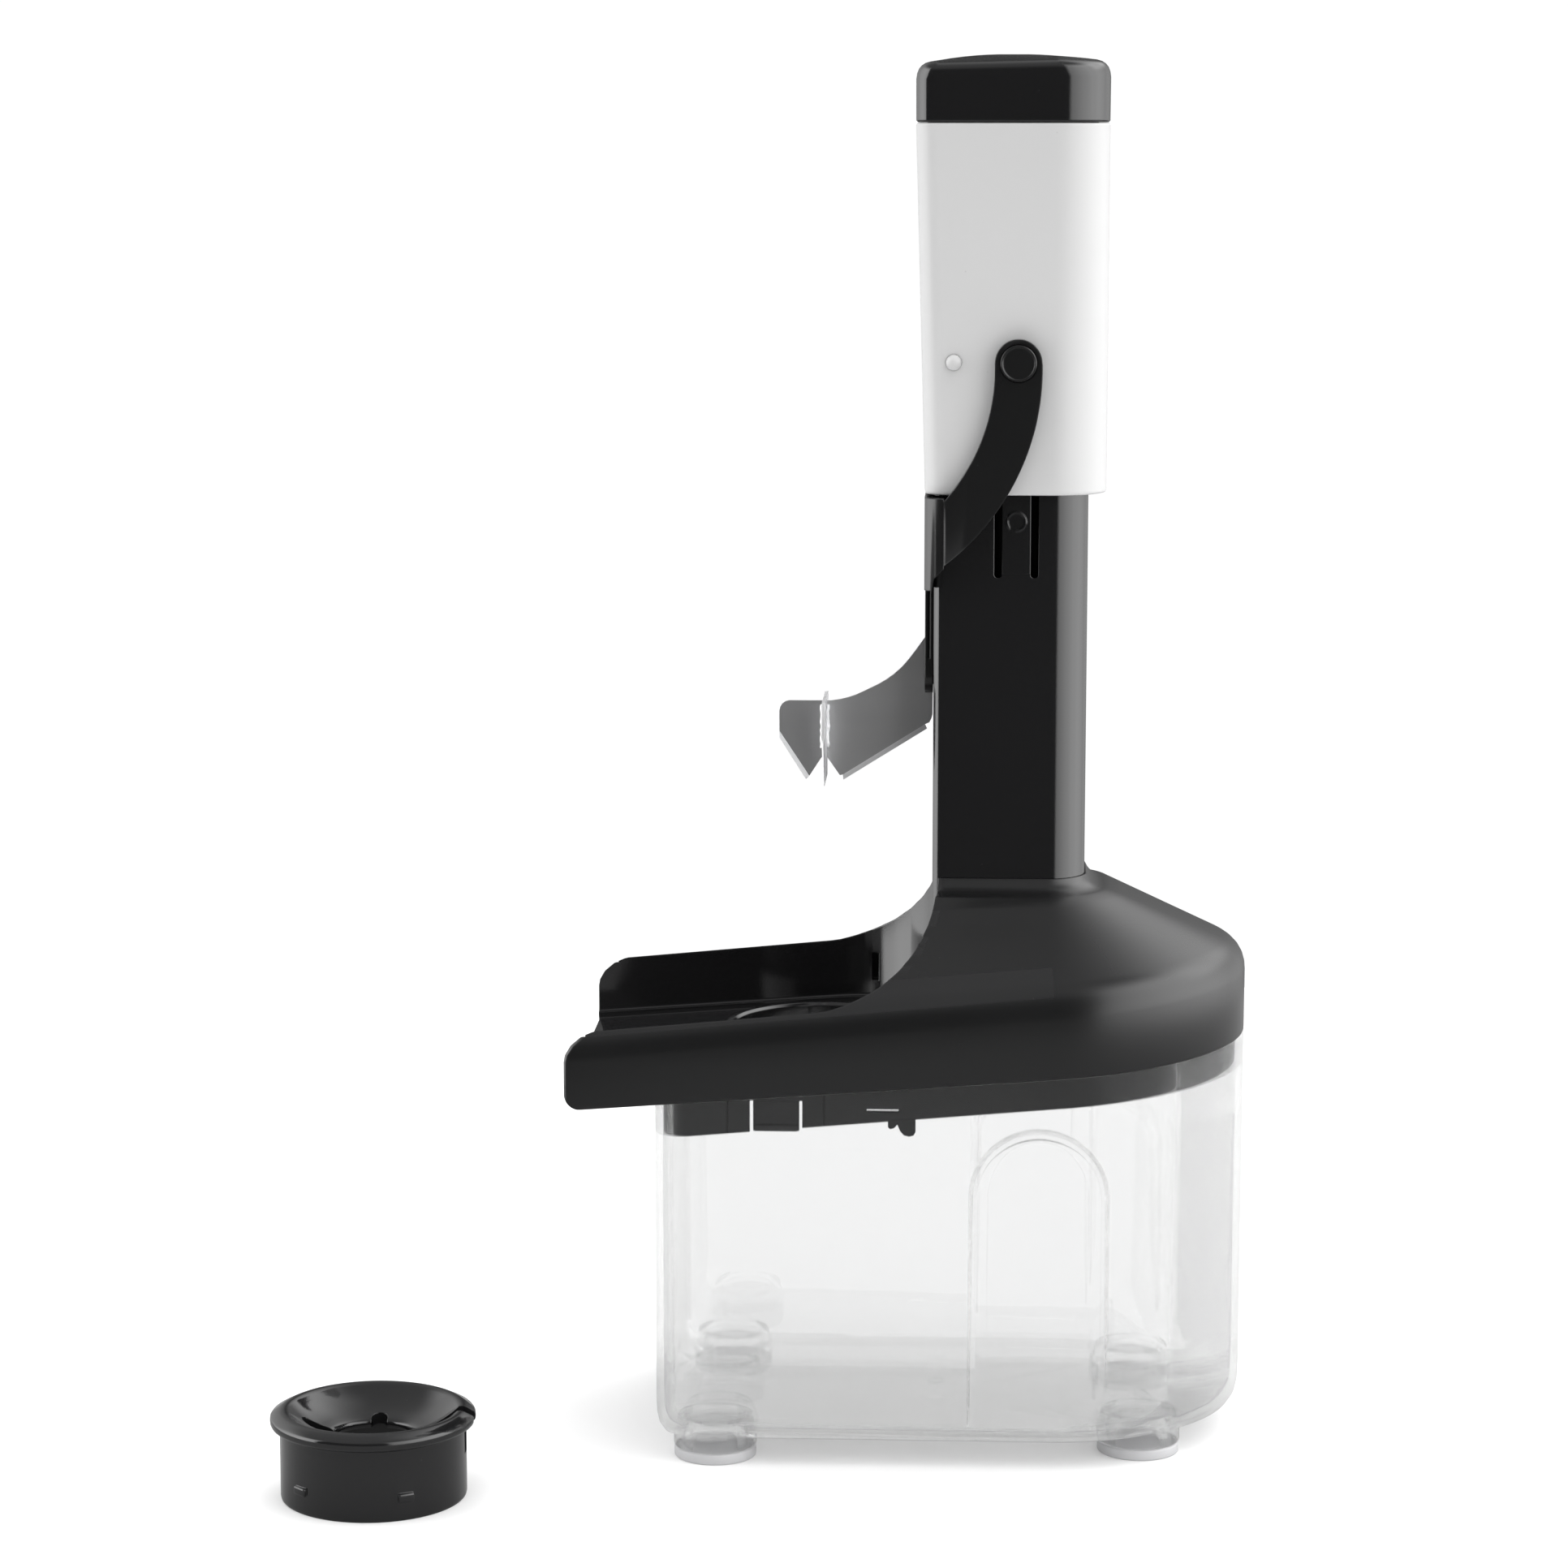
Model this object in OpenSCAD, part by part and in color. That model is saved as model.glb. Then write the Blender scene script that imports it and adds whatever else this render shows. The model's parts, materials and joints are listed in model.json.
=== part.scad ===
// Press-down fruit stoner: pit container, hopper with trough, guide tower,
// sliding handle with a cross blade, and a loose ring insert.
// Local layout: x = 0 on the tower's axis, y = 0 on the plane of symmetry,
// outlet towards -X, thumb recess and pin towards -Y, z = 0 on the table.

/* [Container] */
// half width of the container and hopper
half_w = 50.5; // [44:0.5:60]
// distance from the tower's axis to the container's left wall
left_len = 90; // [80:1:110]
// centre of the round right end
round_x = 12; // [0:1:24]
// rim height at the tower's axis
rim_z = 101.5; // [90:0.5:125]
// how far the rim rises towards the right, degrees
rim_tilt = 4.3; // [0:0.1:6]
// container wall
wall = 2; // [1.6:0.1:3]
// container floor
floor_t = 2.2; // [1.6:0.1:4]
// corner radius at the left end
corner_r = 10; // [4:1:20]
// radius of a foot
foot_r = 10.8; // [8:0.1:14]
// height of a soft foot pad
pad_h = 2.8; // [2:0.1:5]
// underside of the container floor
under_z = 6; // [5:0.5:10]
// width of the thumb recess
thumb_w = 32; // [24:1:40]
// depth of the thumb recess
thumb_d = 5; // [2:0.5:8]
// top of the thumb recess below the rim
thumb_drop = 14.5; // [8:0.5:30]

/* [Hopper] */
// how far the trough runs past the container
trough_over = 22.5; // [10:0.5:35]
// height of the side band above the rim, at the tower's axis
band_h = 21; // [16:0.1:28]
// slope of the side band's upper edge, degrees
band_tilt = 5.5; // [0:0.1:7]
// slope of the roof from the band to the tower
roof_rise = 0.72; // [0.4:0.01:0.8]
// hopper wall
shell = 2.4; // [1.8:0.1:3]
// clearance between skirt and container
skirt_gap = 0.3; // [0.2:0.05:0.6]
// depth of the skirt inside the container
skirt_h = 8; // [6:0.5:12]
// radius of the scoop's corners
scoop_r = 30; // [20:1:32]
// blade axis, distance from the tower's left face
blade_reach = 28.5; // [26:0.5:32]
// radius of the tray hole
hole_r = 23.7; // [19:0.05:26]
// top of the tray collar above the rim, at the tower's axis
collar_up = 5; // [4:0.5:8]

/* [Tower] */
// tower's left face
tower_l = 19.5; // [17:0.5:22]
// tower's right face
tower_r = 20; // [18:0.5:24]
// tower's half depth
tower_y = 18; // [15:0.5:19]
// height of the tower above the rim
tower_h = 160.5; // [150:0.5:175]
// tower wall
tower_wall = 2.5; // [2:0.1:3]
// width of the guide slot
slot_w = 4; // [3:0.5:5]
// gap around the sliding faces
slide_gap = 0.3; // [0.2:0.05:0.5]
// root of the release tongue below the sleeve
tongue_drop = 20.5; // [14:0.5:28]

/* [Handle] */
// sleeve bottom above the rim
sleeve_up = 146.5; // [135:0.5:155]
// sleeve length
sleeve_len = 93.7; // [80:0.1:110]
// sleeve wall
sleeve_wall = 2.4; // [1.8:0.1:3]
// room between tower and sleeve, left and right
room_x = 2.2; // [1.2:0.1:4]
// room between tower and sleeve, near and far
room_y = 1.9; // [1.5:0.1:4]
// cap height
cap_h = 17.3; // [12:0.1:25]
// height of the pin and peg above the sleeve's bottom
pin_up = 33.7; // [25:0.1:50]
// pin, distance from the tower's axis
pin_x = 1.7; // [-2:0.1:5]
// stop peg, distance from the sleeve's left face
peg_in = 9.9; // [7:0.1:13]
// stop peg radius
peg_r = 2; // [1.2:0.1:3]
// how far the handle goes down
travel = 75; // [60:1:78]
// pin shaft radius
pin_r = 3; // [2:0.1:4]
// pin hole clearance
pin_gap = 0.05; // [0.02:0.01:0.1]
// yoke arm thickness
arm_t = 3.5; // [2.5:0.1:4.5]
// blade thickness
blade_t = 1.2; // [0.8:0.1:2]

/* [Insert] */
// insert height
ins_h = 22.6; // [18:0.2:26]
// gap between the insert and the tray hole
seat_gap = 0.3; // [0.2:0.05:0.6]
// flange's overlap on the collar
flange_over = 2.1; // [1.5:0.1:4]
// radius of the pit hole
pit_r = 10.3; // [7:0.1:12]
// insert's centre, distance from the trough's end
ins_off = 46; // [35:0.5:60]
// insert's centre, distance from the container's near wall
ins_front = 26; // [20:0.5:40]

/* [Hidden] */
$fn = 96;
eps = 0.01;
body_l = -left_len;
trough_len = left_len + trough_over;
band_z = rim_z + band_h;
collar_z = rim_z + collar_up;
ridge_z = band_z + 23.3;
neck_z = band_z + 15.5;
thumb_top = rim_z - thumb_drop;
blade_x = tower_l + blade_reach;
tower_top = rim_z + tower_h;
sleeve_z = rim_z + sleeve_up;
sleeve_top = sleeve_z + sleeve_len;
cap_top = sleeve_top + cap_h;
pin_z = sleeve_z + pin_up;
tongue_z = sleeve_z - tongue_drop;
sleeve_x = max(tower_l, tower_r) + room_x + sleeve_wall;
sleeve_y = tower_y + room_y + sleeve_wall;
peg_x = -sleeve_x + peg_in;
ins_r = hole_r - seat_gap;
ins_flange = hole_r + flange_over;
ins_x = trough_len + ins_off;
ins_y = half_w + ins_front;
x_min = -ins_x - ins_flange;
x_max = round_x + half_w;
y_min = -ins_y - ins_flange;
ox = round(-(x_min + x_max) / 2);
oy = round(-(y_min + half_w) / 2);
skirt_out = half_w - wall - skirt_gap;
skirt_t = 1.8;
inner_w = half_w - wall;
foot_lx = body_l + 15.3;
foot_rx = round_x + 23;
foot_ly = half_w - foot_r - 0.2;
foot_ry = foot_ly - 9;
arm_y = sleeve_y + 0.4;
rib_in = -tower_l - slide_gap;
yoke_l = rib_in - 2.1;
ring_cx = pin_x - 56.2;
ring_cz = pin_z - 1.7;
web_z = pin_z - 54.7;
blade_top = pin_z - 89.5;
tip_z = pin_z - 110.4;
rib_z = blade_top + 7.3;
slot_z = rib_z - travel - 12.5;
rivet_x = -tower_l + 0.9;
seat_z = rim_z + 48.5;
spring_r = 6.2;
wire_r = 0.6;
spigot_z = tower_top + 13;
lug_x = -30;
snap_x1 = -63.9;
snap_w = 10.8;
function rim_at(x) = rim_z + x * tan(rim_tilt);
win_x = snap_x1 - 1.3;
win_top = rim_at(win_x) - 0.6;
lug_z = rim_at(lug_x) - skirt_h - 6.45;
black = [0.09, 0.09, 0.095];
white = [0.86, 0.86, 0.85];
steel = [0.72, 0.73, 0.75];
clear = [0.92, 0.94, 0.95, 0.35];

// ---- plan outlines ----
module d_plan(inset) {
    w = half_w - inset;
    l = body_l + inset;
    r = max(corner_r - inset, 1);
    translate([round_x, 0]) circle(r = w);
    translate([l, -w + r]) square([round_x - l, 2 * (w - r)]);
    translate([l + r, -w]) square([round_x - l - r, 2 * w]);
    translate([l + r, w - r]) circle(r = r);
    translate([l + r, -w + r]) circle(r = r);
}

module d_plan_long(inset) {
    w = half_w - inset;
    translate([round_x, 0]) circle(r = w);
    translate([-trough_len, -w]) square([round_x + trough_len, 2 * w]);
}

module rounded(x1, x2, y, rl, rr) {
    translate([x1 + rl, -y]) square([x2 - rr - x1 - rl, 2 * y]);
    translate([x1, -y + rl]) square([x2 - rr - x1 + eps, 2 * (y - rl)]);
    translate([x1 + rl, -y + rr]) square([x2 - x1 - rl, 2 * (y - rr)]);
    for (s = [-1, 1]) {
        translate([x1 + rl, s * (y - rl)]) circle(r = rl);
        translate([x2 - rr, s * (y - rr)]) circle(r = rr);
    }
}

module tower_plan(grow) {
    rounded(-tower_l - grow, tower_r + grow, tower_y + grow, 2.5 + grow, 10 + grow);
}

module sleeve_plan(inset) {
    rounded(-sleeve_x + inset, sleeve_x - inset, sleeve_y - inset,
        max(5.5 - inset, 1), 14 - inset);
}

// everything below a plane that rises towards +X
module below(z0, tilt) {
    translate([0, 0, z0]) rotate([0, -tilt, 0])
        translate([-200, -100, -200]) cube([400, 200, 200]);
}

module above(z0, tilt) {
    translate([0, 0, z0]) rotate([0, -tilt, 0])
        translate([-200, -100, 0]) cube([400, 200, 200]);
}

// a box in the side view, extruded along Y and rounded at its top
module arch(x1, x2, z1, z2, y1, y2) {
    r = (x2 - x1) / 2;
    translate([0, y2, 0]) rotate([90, 0, 0]) linear_extrude(y2 - y1) {
        translate([x1, z1]) square([x2 - x1, z2 - r - z1]);
        translate([x1 + r, z2 - r]) circle(r = r);
    }
}

// ---- container ----
module feet_places() {
    for (s = [-1, 1]) {
        translate([foot_lx, s * foot_ly, 0]) children();
        translate([foot_rx, s * foot_ry, 0]) children();
    }
}

module container() {
    tx = 8.5;
    color(clear) translate([ox, oy, 0])
    difference() {
        union() {
            intersection() {
                difference() {
                    translate([0, 0, under_z]) linear_extrude(150) d_plan(0);
                    translate([0, 0, under_z + floor_t]) linear_extrude(150) d_plan(wall);
                }
                below(rim_z, rim_tilt);
            }
            feet_places() translate([0, 0, pad_h])
                cylinder(r = foot_r, h = under_z + floor_t - pad_h);
            intersection() {
                translate([0, 0, under_z]) linear_extrude(100) d_plan(0.5);
                for (s = [-1, 1])
                    arch(tx - thumb_w / 2 - wall, tx + thumb_w / 2 + wall, under_z,
                        thumb_top + wall, s > 0 ? half_w - thumb_d - wall : -half_w,
                        s > 0 ? half_w : -half_w + thumb_d + wall);
            }
        }
        feet_places() translate([0, 0, pad_h + 1.6])
            cylinder(r = foot_r - 2, h = 20);
        for (s = [-1, 1])
            arch(tx - thumb_w / 2, tx + thumb_w / 2, 34,
                thumb_top, s > 0 ? half_w - thumb_d : -half_w - 5,
                s > 0 ? half_w + 5 : -half_w + thumb_d);
    }
}

module pad(x, y) {
    color([0.8, 0.8, 0.8]) translate([ox + x, oy + y, 0])
        cylinder(r = foot_r - 0.2, h = pad_h);
}
module foot_pad_fl() { pad(foot_lx, -foot_ly); }
module foot_pad_fr() { pad(foot_rx, -foot_ry); }
module foot_pad_bl() { pad(foot_lx, foot_ly); }
module foot_pad_br() { pad(foot_rx, foot_ry); }

// ---- hopper ----
// roof section: half width w at height 0, rising to the middle
module roof_half(w) {
    polygon([[0, -60], [w, -60], [w, 0], [w - 30, 30 * roof_rise], [0, 30 * roof_rise]]);
}

module hopper_block(inset, drop) {
    w = half_w - inset;
    intersection() {
        translate([0, 0, 60]) linear_extrude(130) d_plan_long(inset);
        translate([0, 0, band_z - drop]) rotate([0, -band_tilt, 0]) {
            translate([round_x, 0, 0]) rotate_extrude() roof_half(w);
            rotate([90, 0, 90]) translate([0, 0, -190])
                linear_extrude(190 + round_x) {
                roof_half(w);
                mirror([1, 0]) roof_half(w);
            }
        }
        translate([0, 100, 0]) rotate([90, 0, 0]) linear_extrude(200)
            polygon([[-190, 60], [x_max + 7.5, 60], [x_max + 7.5, ridge_z - 25.8 - drop],
                [x_max - 2 - inset / 2, ridge_z - 15.3 - drop],
                [tower_r + 2, ridge_z - drop], [-190, ridge_z - drop]]);
        above(rim_z - (inset > 0 ? 30 : 0), rim_tilt);
    }
}

// the open scoop seen from above: straight trough, then two round corners
module scoop_plan(grow) {
    w = inner_w + grow;
    r = scoop_r + grow;
    cx = -tower_l + 1.5 - scoop_r;
    cy = inner_w - scoop_r;
    translate([-190, -w]) square([190 + cx, 2 * w]);
    for (s = [-1, 1]) translate([cx, s * cy]) circle(r = r);
    translate([cx, -cy]) square([r, 2 * cy]);
}

module scoop_space() {
    intersection() {
        linear_extrude(220) scoop_plan(0);
        above(rim_z + 3.4, rim_tilt);
    }
}

module skirt() {
    intersection() {
        difference() {
            translate([0, 0, 60]) linear_extrude(90) d_plan(wall + skirt_gap);
            translate([0, 0, 50]) linear_extrude(110) d_plan(wall + skirt_gap + skirt_t);
        }
        below(rim_z + 1.5, rim_tilt);
        above(rim_z - skirt_h, rim_tilt);
    }
}

module snap_window(s) {
    translate([win_x, s > 0 ? skirt_out - 8 : -skirt_out - 7, win_top - 26])
        cube([snap_w + 2.6, 15, 26]);
}

module hopper() {
    color(black) translate([ox, oy, 0])
    difference() {
        union() {
            difference() {
                hopper_block(0, 0);
                hopper_block(shell, shell * 1.1);
            }
            intersection() {
                hopper_block(0, 0);
                linear_extrude(220) scoop_plan(2);
                above(rim_z + 1, rim_tilt);
            }
            skirt();
            translate([-blade_x, 0, collar_z - 11]) cylinder(r = hole_r + 2.2, h = 11);
            // neck round the tower
            translate([0, 0, neck_z]) linear_extrude(10.5) tower_plan(1.6);
            // locking lug under the skirt
            for (s = [-1, 1]) translate([lug_x, s * (skirt_out - 1) - 0.9, lug_z]) cube([7, 1.8, 7]);
        }
        scoop_space_with_collar();
        translate([-blade_x, 0, collar_z - 26]) cylinder(r = hole_r, h = 60);
        translate([0, 0, rim_z - 11]) linear_extrude(80) tower_plan(pin_gap);
        for (s = [-1, 1]) {
            snap_window(s);
            // rounded end of each trough wall
            translate([0, s * half_w, 0]) end_round();
            translate([lug_x + 3.5, s * skirt_out, lug_z]) rotate([0, 45, 0])
                cube([2.4, 12, 2.4], center = true);
        }
    }
}

module scoop_space_with_collar() {
    difference() {
        scoop_space();
        translate([-blade_x, 0, 80]) cylinder(r = hole_r + 2.2, h = collar_z - 80);
    }
}

module end_round() {
    r = 5.5;
    zt = band_z - trough_len * tan(band_tilt) - 0.1;
    translate([-trough_len, 6, zt - r]) rotate([90, 0, 0]) linear_extrude(12)
        difference() {
            translate([-3, 0]) square([r + 3, r + 4]);
            translate([r, 0]) circle(r = r);
        }
}

module snap(s) {
    y = skirt_out - 0.6;
    color(black) translate([ox, oy, 0]) {
        translate([snap_x1, s > 0 ? y - 1.5 : -y, win_top - 8]) cube([snap_w, 1.5, 7.8]);
        translate([snap_x1, s > 0 ? y - eps : -y - 0.5, win_top - 7.8]) cube([snap_w, 0.5, 2]);
    }
}
module snap_near() { snap(-1); }
module snap_far() { snap(1); }

// ---- tower ----
module tongue_shape(s, grow) {
    y = s > 0 ? tower_y - tower_wall : -tower_y;
    translate([-2.1 - grow, y - (grow > 0 ? 3 : 0), tongue_z + (grow > 0 ? 0 : 0.2)])
        cube([7.3 + 2 * grow, tower_wall + (grow > 0 ? 6 : 0), tower_top - tongue_z + (grow > 0 ? 5 : -2)]);
}

module tower() {
    color(black) translate([ox, oy, 0])
    difference() {
        union() {
            difference() {
                translate([0, 0, rim_z + 2]) linear_extrude(tower_h - 2) tower_plan(0);
                translate([0, 0, rim_z - 2]) linear_extrude(tower_h + 10) tower_plan(-tower_wall);
            }
            // cross wall that carries the spring
            translate([0, 0, seat_z - 3]) linear_extrude(3) difference() {
                tower_plan(-tower_wall + 0.5);
                translate([-tower_l, -12]) square([12, 24]);
            }
        }
        // guide slot in the left face
        translate([-tower_l - 5, -slot_w / 2, slot_z]) cube([10, slot_w, tower_top]);
        translate([0, 0, seat_z - 10]) cylinder(r = 4 + 0.02, h = 20);
        for (s = [-1, 1]) {
            tongue_shape(s, 2);
            for (x = [-3.1, 6.2]) translate([x, s * tower_y, tongue_z]) rotate([90, 0, 0])
                cylinder(r = 1, h = 8, center = true);
        }
    }
}

module tongue(s) {
    color(black) translate([ox, oy, 0]) {
        tongue_shape(s, 0);
        // hook that holds the sleeve's lower collar
        translate([-2.1, s > 0 ? tower_y - eps : -tower_y - 1.4, sleeve_z + 3.3])
            cube([7.3, 1.4 + eps, 3]);
        // raised thumb mark
        translate([1.5, s * (tower_y + 0.1), tongue_z + 13.5]) rotate([90, 0, 0])
            cylinder(r = 2.7, h = 0.4, center = true);
    }
}
module tongue_near() { tongue(-1); }
module tongue_far() { tongue(1); }

module tower_plug() {
    color(black) translate([ox, oy, 0]) difference() {
        union() {
            translate([0, 0, tower_top]) linear_extrude(1.6) rounded(-10, tower_r, tower_y - 5.2, 1, 6);
            translate([0, 0, tongue_z - 5]) cylinder(r = 11, h = tower_top - tongue_z + 6);
            translate([8, -7, tower_top - 6]) cube([tower_r - tower_wall - 8.1, 14, 7]);
        }
        translate([0, 0, tongue_z - 10]) cylinder(r = 9, h = 60);
    }
}

module guide_rod() {
    color(steel) translate([ox, oy, seat_z - 3]) cylinder(r = 4, h = tower_top - seat_z - 2);
}

module return_spring() {
    turns = 12;
    h = spigot_z - seat_z;
    color(steel) translate([ox, oy, seat_z])
        linear_extrude(h, twist = -360 * turns, slices = turns * 12, convexity = 4, $fn = 6)
            translate([spring_r, 0]) circle(r = 0.75, $fn = 6);
}

// ---- handle ----
module handle_sleeve() {
    color(white) translate([ox, oy, 0])
    difference() {
        intersection() {
            difference() {
                translate([0, 0, sleeve_z]) linear_extrude(sleeve_top - sleeve_z)
                    sleeve_plan(0);
                intersection() {
                    translate([0, 0, sleeve_z + 3]) linear_extrude(200)
                        sleeve_plan(sleeve_wall);
                    translate([0, 50, 0]) rotate([90, 0, 0]) linear_extrude(100)
                        polygon([[-sleeve_x + sleeve_wall, sleeve_top + 5],
                            [yoke_l + 1.9, sleeve_z], [40, sleeve_z], [40, sleeve_top + 5]]);
                }
                translate([0, 0, sleeve_z - 5]) linear_extrude(50)
                    tower_plan(0.5);
            }
            // the left edge leans in slightly towards the bottom
            translate([0, 50, 0]) rotate([90, 0, 0]) linear_extrude(100)
                polygon([[-sleeve_x, sleeve_top], [yoke_l, sleeve_z],
                    [sleeve_x, sleeve_z], [sleeve_x, sleeve_top]]);
        }
        for (s = [-1, 1]) {
            translate([pin_x, s * sleeve_y, pin_z]) rotate([90, 0, 0])
                cylinder(r = pin_r + pin_gap, h = 8, center = true);
            translate([peg_x, s * sleeve_y, pin_z]) rotate([90, 0, 0])
                cylinder(r = peg_r + 0.02, h = 8, center = true);
        }
    }
}

module handle_cap() {
    color(black) translate([ox, oy, 0]) {
        difference() {
            intersection() {
                translate([0, 0, sleeve_top + 0.1]) linear_extrude(30) sleeve_plan(0);
                translate([0, 0, cap_top - 180]) sphere(r = 180, $fn = 200);
            }
            translate([0, 0, sleeve_top - 1]) linear_extrude(cap_top - sleeve_top - 5)
                sleeve_plan(sleeve_wall + 2);
        }
        // lip inside the sleeve
        translate([0, 0, sleeve_top - 3]) linear_extrude(7) difference() {
            sleeve_plan(sleeve_wall + 0.5);
            sleeve_plan(sleeve_wall + 2.2);
        }
        // spigot that presses the spring
        translate([0, 0, spigot_z]) difference() {
            cylinder(r = 8.5, h = cap_top - 3.5 - spigot_z);
            translate([0, 0, -1]) cylinder(r = 4.6, h = cap_top - 8 - spigot_z);
        }
    }
}

module peg(s) {
    color(white) translate([ox + peg_x, oy, pin_z]) rotate([s * -90, 0, 0]) {
        translate([0, 0, sleeve_y - sleeve_wall]) cylinder(r = peg_r, h = sleeve_wall + 0.5);
        intersection() {
            translate([0, 0, sleeve_y + 0.5 - peg_r / 2]) sphere(r = peg_r * 1.118);
            translate([0, 0, sleeve_y + 0.5]) cylinder(r = peg_r, h = 4);
        }
    }
}
module stop_peg_near() { peg(-1); }
module stop_peg_far() { peg(1); }

module arm_side() {
    translate([pin_x, pin_z]) circle(r = 6);
    intersection() {
        translate([ring_cx, ring_cz]) difference() {
            circle(r = 62.3, $fn = 180);
            circle(r = 50.2, $fn = 180);
        }
        translate([yoke_l, web_z - 12]) square([60, pin_z - web_z + 12]);
    }
    translate([yoke_l, web_z]) square([5, sleeve_z - web_z - 0.6]);
}

module yoke() {
    color(black) translate([ox, oy, 0])
    difference() {
        union() {
            intersection() {
                translate([0, 60, 0]) rotate([90, 0, 0]) linear_extrude(120) arm_side();
                translate([0, 0, web_z - 20]) linear_extrude(120) difference() {
                    rounded(yoke_l, 40, arm_y + arm_t, 5, 3);
                    rounded(rib_in, 50, arm_y, 2.5, 3);
                }
            }
            // rib down the tower's left face, with its rounded foot
            translate([yoke_l, 0, 0]) rotate([90, 0, 90]) linear_extrude(rib_in - yoke_l) {
                translate([-5, rib_z]) square([10, web_z + 12.5 - rib_z]);
                translate([0, rib_z]) circle(r = 5);
            }
            // tongue and head that run in the tower's slot
            translate([rib_in - eps, -slot_w / 2 + slide_gap, rib_z - 2.5])
                cube([tower_wall + 2 * slide_gap + 1.3, slot_w - 2 * slide_gap, 43]);
            translate([-tower_l + tower_wall + slide_gap, -5, rib_z - 2.5]) cube([1.2, 10, 43]);
        }
        // seat for the blade's tang
        translate([-tower_l - 20.5, -blade_t / 2 - 0.02, blade_top - 42])
            cube([22.5, blade_t + 0.04, 59.2]);
        for (z = [rib_z, rib_z + 6]) translate([rivet_x, 0, z]) rotate([90, 0, 0])
            cylinder(r = 0.62, h = 10, center = true, $fn = 24);
        for (s = [-1, 1]) translate([pin_x, s * (arm_y + arm_t / 2), pin_z]) rotate([90, 0, 0])
            cylinder(r = pin_r + pin_gap, h = 12, center = true);
    }
}

module pin(s) {
    color(black) translate([ox + pin_x, oy, pin_z]) rotate([s * -90, 0, 0]) {
        translate([0, 0, sleeve_y - sleeve_wall]) cylinder(r = pin_r, h = sleeve_wall + arm_t + 0.5);
        translate([0, 0, arm_y + arm_t]) cylinder(r = 4.6, h = 0.9);
    }
}
module pivot_pin_near() { pin(-1); }
module pivot_pin_far() { pin(1); }

module main_blade() {
    b = blade_top;
    t = tip_z;
    f = -tower_l;
    c = -blade_x;
    color(steel) translate([ox, oy + blade_t / 2, 0]) rotate([90, 0, 0])
        linear_extrude(blade_t) difference() {
            polygon([[f + 1.9, b + 17], [f - 2.4, b + 17], [f - 4.9, b + 13.5], [f - 8.5, b + 9],
                [c + 16, b + 5.7], [c + 12, b + 3.5], [c + 8, b + 1.6], [c + 4, b + 0.4],
                [c + 1.5, b], [c - 9.5, b], [c - 11.2, b - 0.8], [c - 12, b - 2.4],
                [c - 12, b - 9.8], [c - 5, t], [c - 0.9, t + 6], [c + 0.6, t + 6], [c + 4.8, t],
                [f - 1.7, t + 13.8], [f - 1.1, t + 15], [f - 0.4, t + 17.5], [f - 0.35, t + 25.8],
                [f + 1.9, t + 25.8]]);
            translate([c - 0.5, t - 1]) square([1, 14.5]);
            for (z = [rib_z, rib_z + 6]) translate([rivet_x, z]) circle(r = 0.62, $fn = 24);
        }
}

module cross_blade() {
    b = blade_top;
    t = tip_z;
    color(steel) translate([ox - blade_x - 0.45, oy, 0]) rotate([90, 0, 90])
        linear_extrude(0.9) difference() {
            polygon([[-11.5, b + 1], [11.5, b + 1], [12, b - 0.5], [12, b - 9.8],
                [5, t - 1], [0.8, t + 6], [-0.8, t + 6], [-5, t - 1], [-12, b - 9.8],
                [-12, b - 0.5]]);
            translate([-blade_t / 2 - 0.03, t + 13.3]) square([blade_t + 0.06, 20]);
        }
}

module blade_rivets() {
    color(steel) for (z = [rib_z, rib_z + 6])
        translate([ox + rivet_x, oy, z]) rotate([90, 0, 0])
            cylinder(r = 0.6, h = 3.2, center = true, $fn = 24);
}

// ---- ring insert ----
module ring_insert() {
    fl = 4;
    bz = ins_h - 5.6;
    color(black) translate([ox - ins_x, oy - ins_y, 0])
    difference() {
        union() {
            difference() {
                union() {
                    cylinder(r = ins_r, h = ins_h - 1);
                    translate([0, 0, ins_h - fl]) cylinder(r1 = ins_flange - 1, r2 = ins_flange, h = 1);
                    translate([0, 0, ins_h - fl + 1]) cylinder(r = ins_flange, h = 1.4);
                    translate([0, 0, ins_h - 1.6]) cylinder(r1 = ins_flange, r2 = ins_flange - 3, h = 1.6);
                }
                translate([0, 0, -1]) cylinder(r = ins_r - 2, h = bz - 2 + 1);
                translate([0, 0, bz]) cylinder(r1 = pit_r, r2 = ins_flange - 5.2, h = 5.61);
            }
            for (a = [-132.5, -62, 47.5, 118]) rotate([0, 0, a])
                translate([ins_r - 0.5, -2, 5]) cube([1.1, 4, 2]);
        }
        translate([0, 0, -1]) cylinder(r = pit_r, h = 40);
        translate([0, -2, bz - 5]) cube([40, 4, 20]);
        translate([5.4 - ins_r, -2, bz - 5]) cube([ins_r - 5.4, 4, 20]);
        translate([-2, 7.4 - ins_r, bz - 5]) cube([4, 2 * ins_r - 14.8, 20]);
    }
}

container();
foot_pad_fl();
foot_pad_fr();
foot_pad_bl();
foot_pad_br();
hopper();
snap_near();
snap_far();
tower();
tongue_near();
tongue_far();
tower_plug();
guide_rod();
return_spring();
handle_sleeve();
handle_cap();
stop_peg_near();
stop_peg_far();
yoke();
pivot_pin_near();
pivot_pin_far();
main_blade();
cross_blade();
blade_rivets();
ring_insert();
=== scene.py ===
import json
import math

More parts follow.
